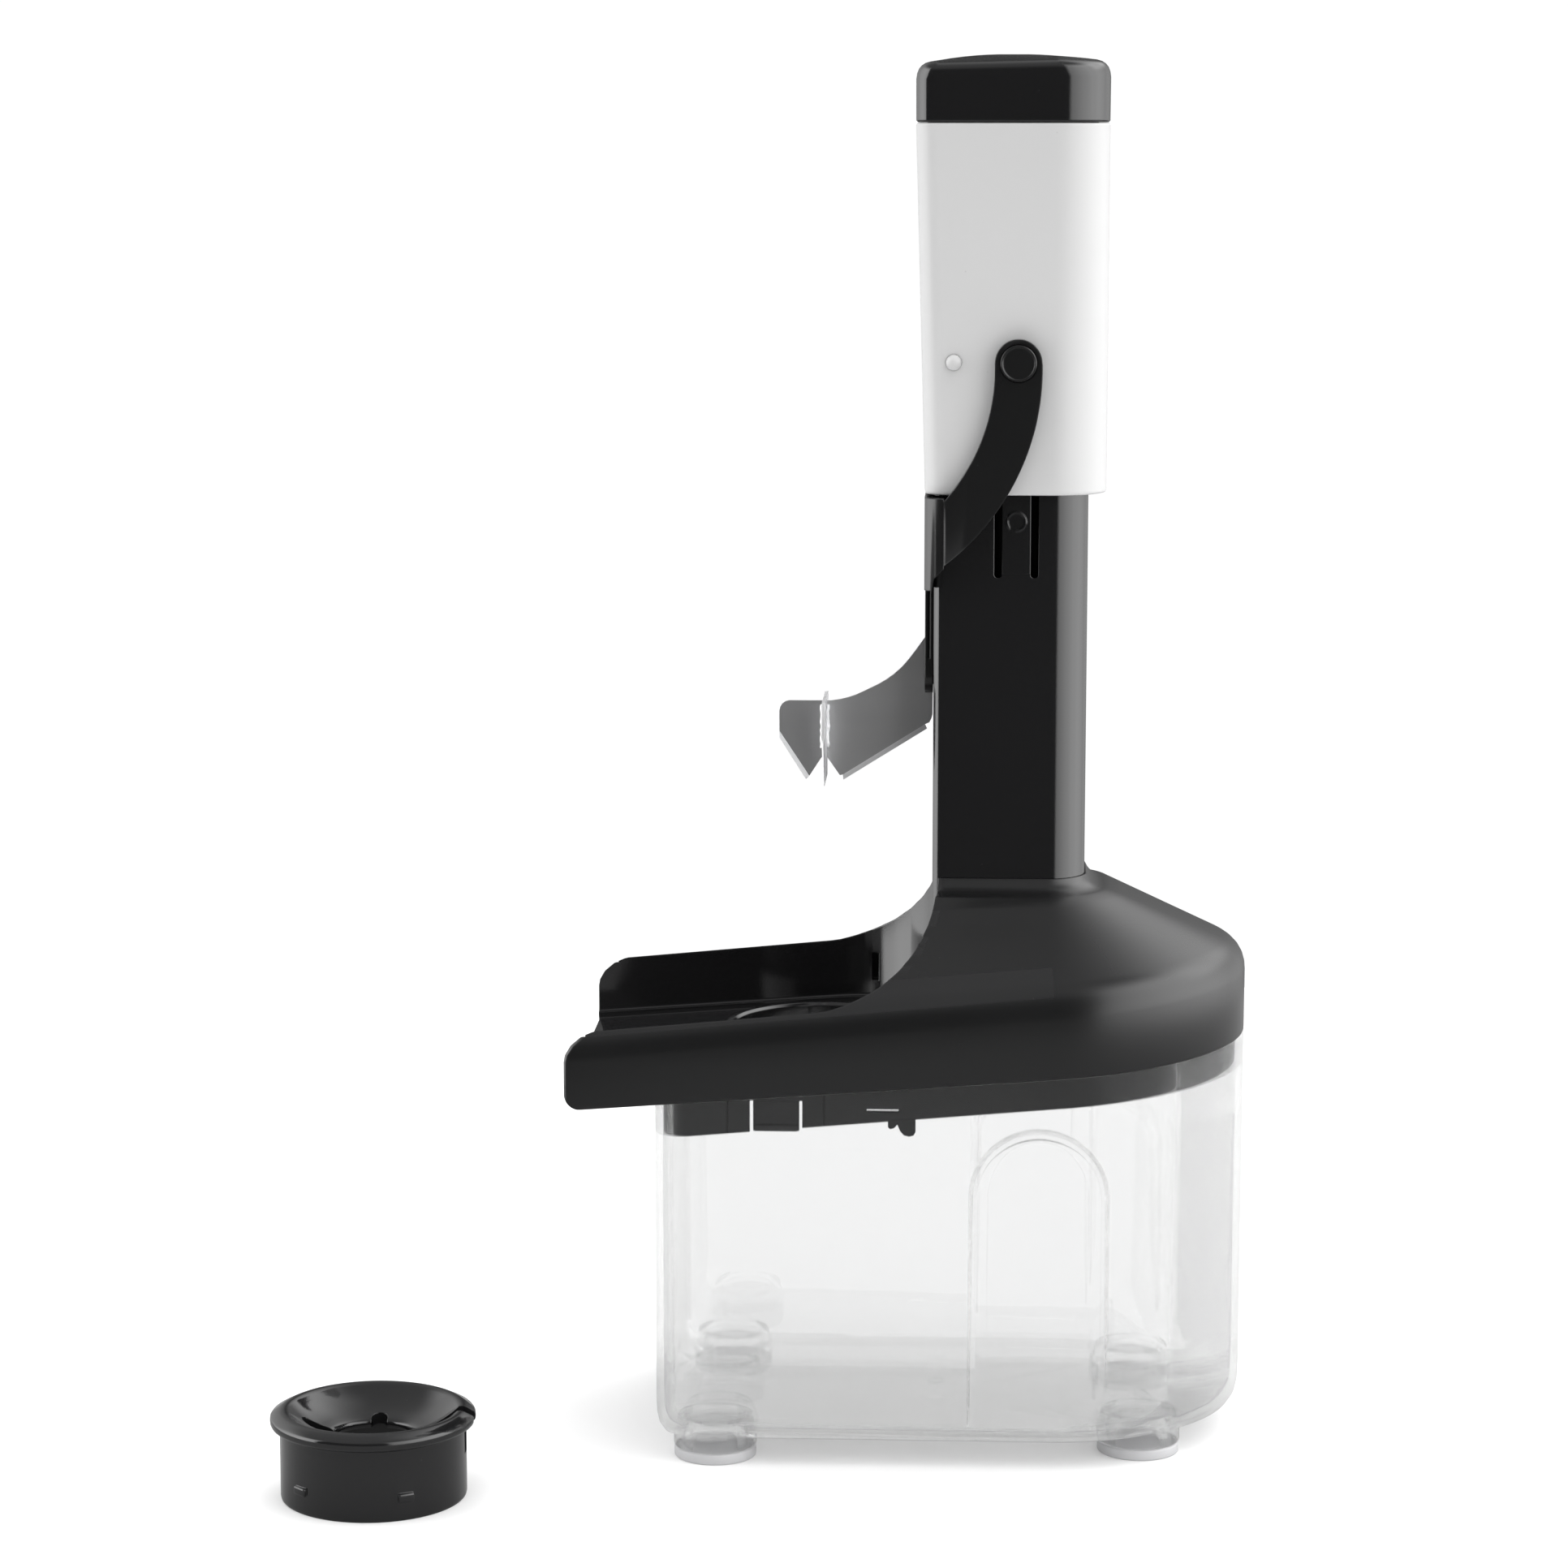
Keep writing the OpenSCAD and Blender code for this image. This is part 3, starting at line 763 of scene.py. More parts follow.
def hopper_shell():
    """The outer skin up to the neck, then back down on the inside."""
    wall = 2.4
    room_top = 141.2
    inner = TRAY.grown(-wall)
    nape = POST.grown(4.0)
    back = [
        (POST.grown(0.5), level(148.5)),
        (POST.grown(0.06), level(148.5)),
        (POST.grown(0.06), level(141.5)),
        (nape, level(room_top)),
    ]
    for share in (0.75, 0.5, 0.25, 0.06):
        back.append((inner.mixed(nape, share), climb(inner, share, room_top, drop=wall)))
    start = TRAY.grown(-0.7)
    back.append((inner, above(band_line, -5)))
    back.append((inner, above(rim_line)))
    back.append((start, above(rim_line)))
    first = [(TRAY.grown(-0.2), above(rim_line, 0.2)), (TRAY, above(rim_line, 0.8))]
    rings = first + hopper_outside(TRAY) + back
    return ringed("hopper", start, above(rim_line), rings, open_ends=True, **WRAP)


def scoop_lining():
    """The scoop's wall and floor, trimmed to the outer skin."""
    base = TRAY.grown(-0.06)
    skin = ringed("skin", base, above(rim_line, 0.7), hopper_outside(base), **WRAP)
    line = Outline(-112.44, -16, 50.44, 0.5, 32)
    lining = ringed("lining", line, above(rim_line, 1), [(line, level(149))], 3, 20)
    return combine(lining, skin, "INTERSECT")


def hopper_skirt():
    """The ring that stands inside the container's rim, with its windows, slits and grooves."""
    ring = Outline(-87.7, 60.2, 48.2, 7.7, 48.2)
    ring_in = ring.grown(-1.8)

    def edge(x):
        return rim_line(x) - 8 + 0.013 * min(x, 0)

    down = [
        (ring, above(edge, 0.4)),
        (ring, above(rim_line, 1.6)),
        (ring_in, above(rim_line, 1.6)),
        (ring_in, above(edge)),
        (ring.grown(-0.4), above(edge)),
    ]
    skirt = ringed("skirt", ring.grown(-0.4), above(edge), down, 8, 24, open_ends=True)
    for hand in (-1, 1):
        y0, y1 = sorted((hand * 40, hand * 52))
        combine(skirt, brick("window", (-65.2, y0, 80), (-51.8, y1, 96)))
        combine(skirt, brick("slit", (-35.4, y0, 93.4), (-27.3, y1, 94.1)))
        y0, y1 = sorted((hand * 47.9, hand * 52))
        for x in (-70.9, -46.3):
            combine(skirt, brick("groove", (x - 0.2, y0, 80), (x + 0.2, y1, 99)))
    return skirt


def scoop_room():
    """Hollow of the scoop, with its low ledge and rounded floor edge, round the hole's collar."""
    room = Outline(-130, -18, 48.5, 0.5, 30)

    def floor(up):
        return lambda x, y, key=None: rim_line(x) + 3.4 + up

    rings = [
        (room.grown(-1.7), floor(0.3)),
        (room.grown(-1.4), floor(0.9)),
        (room.grown(-1.3), floor(1.9)),
        (room.grown(-0.5), floor(2.0)),
        (room.grown(-0.15), floor(2.3)),
        (room, floor(3.0)),
        (room, level(175)),
    ]
    hollow = ringed("hollow", room.grown(-2.6), floor(0), rings, 3, 20)
    return combine(hollow, rod("collar_room", (HOLE_X, 0, 101), COLLAR_R, 11, sides=128))


def lug_outline():
    """Side view of a lug under the skirt: a small hook, then the rounded foot."""
    hook = [(-30, 93), (-30, 89.4), (-29.4, 88.9), (-28.4, 89.2), (-27.6, 90.1)]
    return hook + [(-26.9, 88.4), (-25.9, 87.3), (-24.6, 87.0), (-23.5, 87.3), (-23, 88.2), (-23, 93)]


def rounded_trough_ends(shell):
    """Rounds the ends of the trough's walls, above and below."""
    for z, up, r in ((band_line(-107) - 5.5, 1, 5.5), (rim_line(-108.1) + 4.4, -1, 4.4)):
        low, high = sorted((z, z + up * 12))
        block = brick("end", (-118, -60, low), (LEFT_END + r, 60, high))
        combine(block, rod("end_round", (LEFT_END + r, 0, z), r, 130, "Y", sides=72))
        combine(shell, block)


def hopper():
    shell = hopper_shell()
    combine(shell, scoop_lining(), "UNION")
    combine(shell, rod("collar", (HOLE_X, 0, 101), COLLAR_R, 11, sides=128), "UNION")
    combine(shell, hopper_skirt(), "UNION")
    for hand in (-1, 1):
        y0, y1 = sorted((hand * 46.3, hand * 48.05))
        combine(shell, traced("lug", lug_outline(), "XZ", y0, y1), "UNION")
    combine(shell, scoop_room())
    combine(shell, rod("bore", (HOLE_X, 0, 100), HOLE_R, 40, sides=128))
    combine(shell, rod("bore_lead", (HOLE_X, 0, 106.2), HOLE_R, 0.8, sides=128, small=24.5))
    post = POST.grown(0.06)
    combine(shell, ringed("post_room", post, level(90), [(post, level(170))], 6, 10))
    rounded_trough_ends(shell)
    # shallow relief on the scoop's inner walls, behind the ring
    for hand in (-1, 1):
        y0, y1 = sorted((hand * 38, hand * 49.1))
        combine(shell, brick("relief", (-36.7, y0, 108.4), (-34.9, y1, 116.1)))
    open_up(shell)
    bpy.ops.mesh.select_all(action="SELECT")
    bpy.ops.mesh.remove_doubles(threshold=0.01)
    hands_off()
    shell.data.materials.append(finishes["satin_black"])
    shell.data.materials.append(finishes["gloss_black"])
    for face in shell.data.polygons:
        c = face.center
        inside = -111.5 < c.x < -17.4 and abs(c.y) < 48.75 and c.z > rim_line(c.x) + 2.4
        face.material_index = 1 if inside else 0
    delivered(shell, "satin_black", "upper", "hopper", smooth=28)


def snaps():
    low, high = 88, 95.8
    tab = brick("snap_tab", (-64.35, -47.4, low), (-52.6, -46.1, high + 0.1))
    combine(tab, brick("ridge", (-63.9, -48.4, low + 0.1), (-53.1, -47.3, low + 1.7)), "UNION")
    softened(tab, 0.25, 2)
    twin = mirrored_copy(tab, "snap_tab_far")
    delivered(tab, "gloss_black", "snap_near_b", "snap_near")
    delivered(twin, "gloss_black", "snap_far_b", "snap_far")


# ---- tower ----


def tower():
    wall = POST.grown(-2.5)
    rings = [
        (POST, level(261.4)),
        (POST.grown(-0.6), level(TOWER_TOP)),
        (wall, level(TOWER_TOP)),
        (wall, level(TOWER_LOW)),
        (POST, level(TOWER_LOW)),
    ]
    post = ringed("tower", POST, level(TOWER_LOW), rings, 8, 16, open_ends=True)
    groove = brick("groove", (-24, -2, 112), (-15, 2, 270))
    combine(groove, rod("groove_end", (-19.5, 0, 112), 2, 9, "X", sides=48), "UNION")
    combine(post, groove)
    for hand in (-1, 1):
        y0, y1 = sorted((hand * 14, hand * 22))
        combine(post, brick("window", (-4.1, y0, GAP_LOW), (7.2, y1, 270)))
        for x in (-3.1, 6.2):
            combine(post, rod("slot_end", (x, hand * 18, GAP_LOW), 1, 8, "Y", sides=40))
    even_shading(post)
    delivered(post, "gloss_black", "upper", "tower", smooth=30)


def tongues():
    tongue = brick("tongue", (-2.1, -18, 227.4), (5.2, -15.5, 260))
    combine(tongue, brick("hook", (-2.1, -19.4, 251.3), (5.2, -17.9, 254.3)), "UNION")
    # the catch that slides over the sleeve's collar has a slanted top
    open_up(tongue)
    pick("EDGE", lambda e: abs(middle(e).z - 254.3) < 0.05 and middle(e).y < -19)
    bpy.ops.mesh.bevel(offset=1.1, segments=2, affect="EDGES")
    hands_off()
    # a raised open loop marks where the thumb presses
    bpy.ops.mesh.primitive_torus_add(
        location=(1.5, -18.05, 241),
        rotation=(math.pi / 2, 0, 0),
        major_radius=2.35,
        minor_radius=0.34,
        major_segments=40,
        minor_segments=10,
    )
    loop = fixed(bpy.context.object, "thumb_loop")
    combine(loop, brick("loop_gap", (-0.2, -19, 236.5), (1.2, -17.4, 240.2)))
    combine(tongue, loop, "UNION")
    twin = mirrored_copy(tongue, "tongue_far_side")
    delivered(tongue, "gloss_black", "tongue_near_b", "tongue_near")
    delivered(twin, "gloss_black", "tongue_far_b", "tongue_far")


# ---- handle ----


def grip(z, inset=0.0):
    """The sleeve's outline at a height: its left face leans in towards the bottom."""
    share = min(max((z - SLEEVE_LOW) / SLEEVE_LONG, 0), 1)
    left = -21.9 - 2.7 * share
    return Outline(left + inset, 24.6 - inset, 22.3 - inset, max(5.5 - inset, 0.6), max(14 - inset, 1))


def sleeve():
    wall = 2.4
    foot = grip(SLEEVE_LOW, 0.8)
    rings = [
        (grip(SLEEVE_LOW, 0.35), level(248.12)),
        (grip(SLEEVE_LOW, 0.1), level(248.4)),
        (grip(249), level(249)),
        (grip(341), level(341)),
        (grip(SLEEVE_TOP, 0.15), level(341.45)),
        (grip(SLEEVE_TOP, 0.5), level(SLEEVE_TOP)),
        (grip(SLEEVE_TOP, wall), level(SLEEVE_TOP)),
        (grip(251, wall), level(251)),
        (POST.grown(0.55), level(251)),
        (POST.grown(0.55), level(248.3)),
        (POST.grown(0.8), level(SLEEVE_LOW)),
        (foot, level(SLEEVE_LOW)),
    ]
    tube = ringed("sleeve", foot, level(SLEEVE_LOW), rings, 10, 20, open_ends=True)
    for hand in (-1, 1):
        y = hand * 22.3
        combine(tube, rod("pin_room", (PIN_X, y, PIN_Z), 3.05, 8, "Y", sides=48))
        combine(tube, rod("peg_room", (PEG_X, y, PIN_Z), 2.02, 8, "Y", sides=40))
    even_shading(tube)
    delivered(tube, "satin_white", "handle", "handle_sleeve", smooth=30)


def cap():
    def dome(drop):
        return lambda x, y, key=None: CAP_TOP - (x * x + y * y) / 360 - drop

    top = grip(SLEEVE_TOP + 1)
    rings = [
        (top.grown(-0.35), level(341.95)),
        (top.grown(-0.05), level(342.3)),
        (top, dome(4.0)),
        (top.grown(-0.2), dome(2.6)),
        (top.grown(-0.65), dome(1.5)),
        (top.grown(-1.35), dome(0.75)),
        (top.grown(-2.3), dome(0.25)),
        (top.grown(-3.6), dome(0.03)),
    ]
    for inset in (6.5, 9, 12, 15, 18, 20.5):
        rings.append((top.grown(-inset), dome(0)))
    lid = ringed("cap", top.grown(-0.6), level(341.8), rings, 10, 20)
    lip = ringed("lip", top.grown(-2.9), level(338.7), [(top.grown(-2.9), level(345))], 6, 12)
    combine(lid, lip, "UNION")
    hollow = ringed("hollow", top.grown(-4.6), level(330), [(top.grown(-4.6), level(354))], 6, 12)
    combine(lid, hollow)
    combine(lid, rod("spigot", (0, 0, 315), 8.5, 80, sides=64), "UNION")
    combine(lid, rod("spigot_bore", (0, 0, 312), 4.6, 80, sides=48))
    even_shading(lid)
    delivered(lid, "gloss_black", "handle", "handle_cap", smooth=30)


def pegs():
    peg = rod("peg", (PEG_X, -21.4, PIN_Z), 1.98, 3.2, "Y", sides=48)
    open_up(peg)
    for inset, out in ((0.35, 0.5), (0.35, 0.35), (0.4, 0.25), (0.4, 0.1)):
        pick("FACE", lambda f: f.normal.y < -0.9 and f.calc_center_median().y < -22.5)
        bpy.ops.mesh.inset(thickness=inset, depth=out)
    hands_off()
    twin = mirrored_copy(peg, "peg_far")
    delivered(peg, "satin_white", "handle", "stop_peg_near", smooth=60)
    delivered(twin, "satin_white", "handle", "stop_peg_far", smooth=60)


def yoke():
    # side view across the whole width: a curved strap, the round eye, and the web in front
    strap = rod("yoke", (-54.5, 0, 280), 62.3, 60, "Y", sides=256)
    combine(strap, rod("strap_inside", (-54.5, 0, 280), 50.2, 70, "Y", sides=224))
    combine(strap, brick("above", (-130, -40, PIN_Z), (40, 40, 380)))
    combine(strap, brick("left", (-130, -40, 200), (YOKE_LEFT, 40, 290)))
    combine(strap, brick("low", (-130, -40, 160), (40, 40, 226.9)))
    combine(strap, rod("eye", (PIN_X, 0, PIN_Z), 6.0, 60, "Y", sides=72), "UNION")
    web = [(-21.95, 247.4), (-16.9, 247.4), (-16.9, 229.6), (-19.3, 227.0), (-19.85, 223.8), (-21.95, 223.8)]
    combine(strap, traced("web", web, "XZ", -30, 30), "UNION")
    outer = Outline(YOKE_LEFT, 40, 26.2, 5, 3)
    inner = Outline(-19.8, 50, 22.7, 2.5, 3)
    around = ringed("around", outer, level(200), [(outer, level(300))], 10, 3)
    combine(around, ringed("within", inner, level(190), [(inner, level(310))], 8, 3))
    combine(strap, around, "INTERSECT")
    rib = brick("rib", (YOKE_LEFT, -5, 199.5), (-19.8, 5, 240))
    combine(rib, rod("rib_foot", (-20.85, 0, 199.5), 5, 2.1, "X", sides=64), "UNION")
    combine(rib, brick("rib_groove", (-21.1, -6, 204), (-20.6, -4.55, 238)))
    combine(rib, brick("rib_groove", (-21.1, 4.55, 204), (-20.6, 6, 238)))
    combine(strap, rib, "UNION")
    softened(strap, 0.42, 3, 34)
    combine(strap, brick("runner", (-19.9, -1.7, 197), (-15.7, 1.7, 240)), "UNION")
    combine(strap, brick("runner_head", (-16.7, -5, 197), (-15.5, 5, 240)), "UNION")
    combine(strap, brick("tang_seat", (-40, -0.62, 150), (-17.5, 0.62, 209.4)))
    for hand in (-1, 1):
        combine(strap, rod("eye_room", (PIN_X, hand * 26.2, PIN_Z), 4.75, 1.0, "Y", sides=64))
    # support edges beside the rounded corner keep the arms' flats flat
    open_up(strap)
    for x in (-16.4, -10.0):
        bpy.ops.mesh.select_all(action="SELECT")
        bpy.ops.mesh.bisect(plane_co=(x, 0, 0), plane_no=(1, 0, 0))
    hands_off()
    even_shading(strap)
    delivered(strap, "satin_black", "handle", "yoke", smooth=32)


def pins():
    front = 27.1
    pin = rod("pin", (PIN_X, -23.2, PIN_Z), 2.98, 6.6, "Y", sides=48)
    head = rod("pin_head", (PIN_X, -26.35, PIN_Z), 4.6, 1.5, "Y", sides=72)

    def outer_rim(edge):
        place = middle(edge)
        return abs(place.y + front) < 0.01 and (place - Vector((PIN_X, place.y, PIN_Z))).length > 4.4

    open_up(head)
    pick("FACE", lambda f: f.normal.y < -0.9)
    bpy.ops.mesh.inset(thickness=0.45, depth=0)
    bpy.ops.mesh.inset(thickness=0.2, depth=-0.22)
    pick("EDGE", outer_rim)
    bpy.ops.mesh.bevel(offset=0.22, segments=3, affect="EDGES")
    hands_off()
    combine(pin, head, "UNION")
    twin = mirrored_copy(pin, "pin_far")
    delivered(pin, "satin_black", "handle", "pivot_pin_near")
    delivered(twin, "satin_black", "handle", "pivot_pin_far")


def ground_edge(blade, ends, goal, across, heart):
    """Draws a narrow face out to its goal and thins it; across is the axis of the blade's thickness."""
    along = 1 - across
    centre = Vector((heart, heart, (ends[0][1] + ends[1][1]) / 2))
    centre[along] = (ends[0][0] + ends[1][0]) / 2
    open_up(blade)
    pick("FACE", lambda f: (f.calc_center_median() - centre).length < 0.3)
    bpy.ops.mesh.extrude_region_move(TRANSFORM_OT_translate=STILL)
    shape = bmesh.from_edit_mesh(blade.data)
    for v in shape.verts:
        if v.select:
            near = 0 if abs(v.co[along] - ends[0][0]) < abs(v.co[along] - ends[1][0]) else 1
            v.co[across] = heart + (v.co[across] - heart) * 0.1
            v.co[along] = goal[near][0]
            v.co.z = goal[near][1]
    bmesh.update_edit_mesh(blade.data)
    hands_off()


def main_blade():
    b, t = BLADE_BACK, BLADE_TIP
    left_in, left_tip = (-60, b - 9.8 + 1.9), (-52.1, t + 1.05)
    right_tip, right_in = (-43.3, t + 1.45), (YOKE_LEFT, t + 14.9)
    points = [(-17.6, b + 17), (YOKE_LEFT, b + 17)]
    # the hollow curve down to the bridge
    points += [(-24.4, b + 13.5), (-26.2, b + 11.1), (-28, b + 9), (-30, b + 7.2), (-32, b + 5.7)]
    points += [(-34, b + 4.5), (-36, b + 3.5), (-38, b + 2.5), (-40, b + 1.6), (-42, b + 0.9)]
    points += [(-44, b + 0.4), (-46.5, b)]
    # the rounded left corner
    points += [(-57.5, b), (-58.5, b - 0.3), (-59.3, b - 0.9), (-59.8, b - 1.7), (-60, b - 2.6)]
    # the two tips with the notch between them, and the tang's lower end
    points += [left_in, left_tip, (-48.9, t + 6), (-47.4, t + 6), (-44.1, t + 1.25), right_tip, right_in]
    points += [(-20.7, t + 15.4), (-20.2, t + 16.4), (-19.9, t + 17.5), (-19.85, t + 25.8), (-17.6, t + 25.8)]
    blade = traced("main_blade", points, "XZ", -0.6, 0.6)
    ground_edge(blade, (left_in, left_tip), ((-60, b - 9.8), (-53.0, t)), across=1, heart=0)
    ground_edge(blade, (right_tip, right_in), ((-43.2, t), (-21.3, t + 13.7)), across=1, heart=0)
    for z in (199.5, 205.5):
        combine(blade, rod("rivet_hole", (-18.6, 0, z), 0.62, 4, "Y", sides=24))
    combine(blade, brick("cross_slot", (-48.5, -2, t - 2), (-47.5, 2, t + 13.5)))
    blade.data.materials.append(finishes["blade_steel"])
    blade.data.materials.append(finishes["ground_steel"])
    for face in blade.data.polygons:
        slanted = 0.02 < abs(face.normal.z) < 0.98 and 0.3 < abs(face.normal.y) < 0.99
        face.material_index = 1 if slanted else 0
    delivered(blade, "blade_steel", "handle", "main_blade", smooth=20)


def weld_bead(x, y, lumpy):
    """A lumpy thread of weld in a corner between the blades."""
    z = 185.6
    bead = rod("bead", (x, y, z), 0.42, 11.4, "Z", sides=16, small=0.38)
    open_up(bead)
    cuts = [z] + [z + k * 0.62 + 0.2 for k in range(-8, 9)]
    for cut in cuts:
        bpy.ops.mesh.select_all(action="SELECT")
        bpy.ops.mesh.bisect(plane_co=(x, y, cut), plane_no=(0, 0, 1))
    take(bead)
    lumps = bead.modifiers.new("lumps", "DISPLACE")
    lumps.texture = lumpy
    lumps.texture_coords = "LOCAL"
    lumps.strength = 0.7
    lumps.mid_level = 0.45
    bpy.ops.object.modifier_apply(modifier=lumps.name)
    return bead


def cross_blade():
    b, t = BLADE_BACK, BLADE_TIP
    points = [(-11.5, b + 1), (11.5, b + 1), (12, b - 0.5), (12, b - 8.2), (5.2, t + 0.6), (4.6, t + 0.6)]
    points += [(0.8, t + 6), (-0.8, t + 6), (-4.6, t + 0.6), (-5.2, t + 0.6), (-12, b - 8.2), (-12, b - 0.5)]
    blade = traced("cross_blade", points, "YZ", -48.45, -47.55)
    for hand in (-1, 1):
        ends = ((hand * 12, b - 8.2), (hand * 5.2, t + 0.6))
        goal = ((hand * 12, b - 9.8), (hand * 5, t - 1))
        ground_edge(blade, ends, goal, across=0, heart=HOLE_X)
    combine(blade, brick("seat", (-50, -0.63, t + 13.3), (-46, 0.63, b + 4)))
    lumpy = bpy.data.textures.new("bead_lumps", "CLOUDS")
    lumpy.noise_scale = 1.1
    beads = [weld_bead(x, y, lumpy) for x in (-47.2, -48.8) for y in (-0.8, 0.8)]
    whole = joined("cross_blade", [blade] + beads)
    delivered(whole, "ground_steel", "handle", "cross_blade", smooth=40)


# ---- ring insert ----


def insert_profile():
    """Radius and height round half the insert's section, from the skirt's foot and back to it."""
    skirt = [(21.6, 0.0), (23.0, 0.0), (23.25, 0.25), (23.4, 0.9), (23.4, 17.4)]
    flange = [(23.6, 18.1), (24.2, 18.5), (25.0, 18.7), (25.5, 19.0), (25.75, 19.5), (25.8, 20.2)]
    flange += [(25.75, 20.9), (25.45, 21.3), (23.5, 22.3), (22.9, 22.55), (22.2, 22.6), (21.6, 22.5)]
    bowl = [(21.0, 22.0), (19.8, 20.9), (17.8, 19.4), (15.6, 18.0), (13.4, 17.0), (11.7, 16.4)]
    bowl += [(10.9, 16.0), (10.45, 15.6), (10.3, 15.1), (10.35, 14.4), (10.7, 13.9), (11.4, 13.7)]
    inside = [(19.6, 14.6), (20.8, 14.8), (21.4, 14.0), (21.4, 0.6)]
    return skirt + flange + bowl + inside + skirt[:1]


def ring_insert():
    ring = drawn("ring_insert", [Vector((r, 0, z)) for r, z in insert_profile()])
    bpy.ops.mesh.spin(steps=128, angle=WHOLE_TURN, center=(0, 0, 0), axis=(0, 0, 1))
    bpy.ops.mesh.select_all(action="SELECT")
    bpy.ops.mesh.remove_doubles(threshold=0.01)
    bpy.ops.mesh.normals_make_consistent(inside=False)
    hands_off()
    for angle in (-132.5, -62, 47.5, 118):
        a = math.radians(angle)
        bump = brick("bump", (22.9, -2.1, 4.9), (24.1, 2.1, 7.1))
        softened(bump, 0.45, 3)
        open_up(bump)
        bpy.ops.mesh.select_all(action="SELECT")
        shape = bmesh.from_edit_mesh(bump.data)
        for v in shape.verts:
            x, y = v.co.x, v.co.y
            v.co.x, v.co.y = x * math.cos(a) - y * math.sin(a), x * math.sin(a) + y * math.cos(a)
        bmesh.update_edit_mesh(bump.data)
        hands_off()
        combine(ring, bump, "UNION")
    slots = brick("slots", (-16, -2, 11.4), (40, 2, 40))
    combine(slots, rod("slot_end", (-16, 0, 26), 2, 29.2, sides=32), "UNION")
    combine(slots, brick("across", (-2, -11.4, 11.5), (2, 11.4, 40.1)), "UNION")
    for hand in (-1, 1):
        combine(slots, rod("slot_end", (0, hand * 11.4, 26), 2, 28.8, sides=32), "UNION")
    combine(ring, slots)
    delivered(ring, "gloss_black", "insert", "ring_insert", smooth=35, shift=(ring_x, ring_y))


# ---- stage ----


def stage_floor():
    hands_off()
    bpy.ops.mesh.primitive_circle_add(vertices=128, radius=0.62, fill_type="NGON", location=(0, 0, 0))
    floor = bpy.context.object
    floor.name = "floor"
    made = bpy.data.materials.new("pale_floor")
    made.use_nodes = True
    nodes, links = made.node_tree.nodes, made.node_tree.links
    shader = nodes["Principled BSDF"]
    path = nodes.new("ShaderNodeLightPath")
    through = path.outputs["Is Transmission Ray"]

    def blend(factor, first, second):
        node = nodes.new("ShaderNodeMix")
        node.data_type = "RGBA"
        links.new(factor, node.inputs["Factor"])
        if isinstance(first, float):
            node.inputs["A"].default_value = (*grey(first), 1)
        else:
            links.new(first, node.inputs["A"])
        node.inputs["B"].default_value = (*grey(second), 1)
        return node.outputs["Result"]

    # darker in reflections, and paler and self-lit through the clear plastic
    mirror = nodes.new("ShaderNodeMath")
    mirror.operation = "SUBTRACT"
    mirror.use_clamp = True
    links.new(path.outputs["Is Glossy Ray"], mirror.inputs[0])
    links.new(through, mirror.inputs[1])
    shade = blend(mirror.outputs["Value"], 0.66, 0.16)
    links.new(blend(through, shade, 0.09), shader.inputs["Base Color"])
    links.new(blend(through, 0.20, 0.62), shader.inputs["Emission Color"])
    shader.inputs["Emission Strength"].default_value = 1.0
    shader.inputs["Roughness"].default_value = 0.7
    shader.inputs["Specular IOR Level"].default_value = 0.1
    floor.data.materials.append(made)


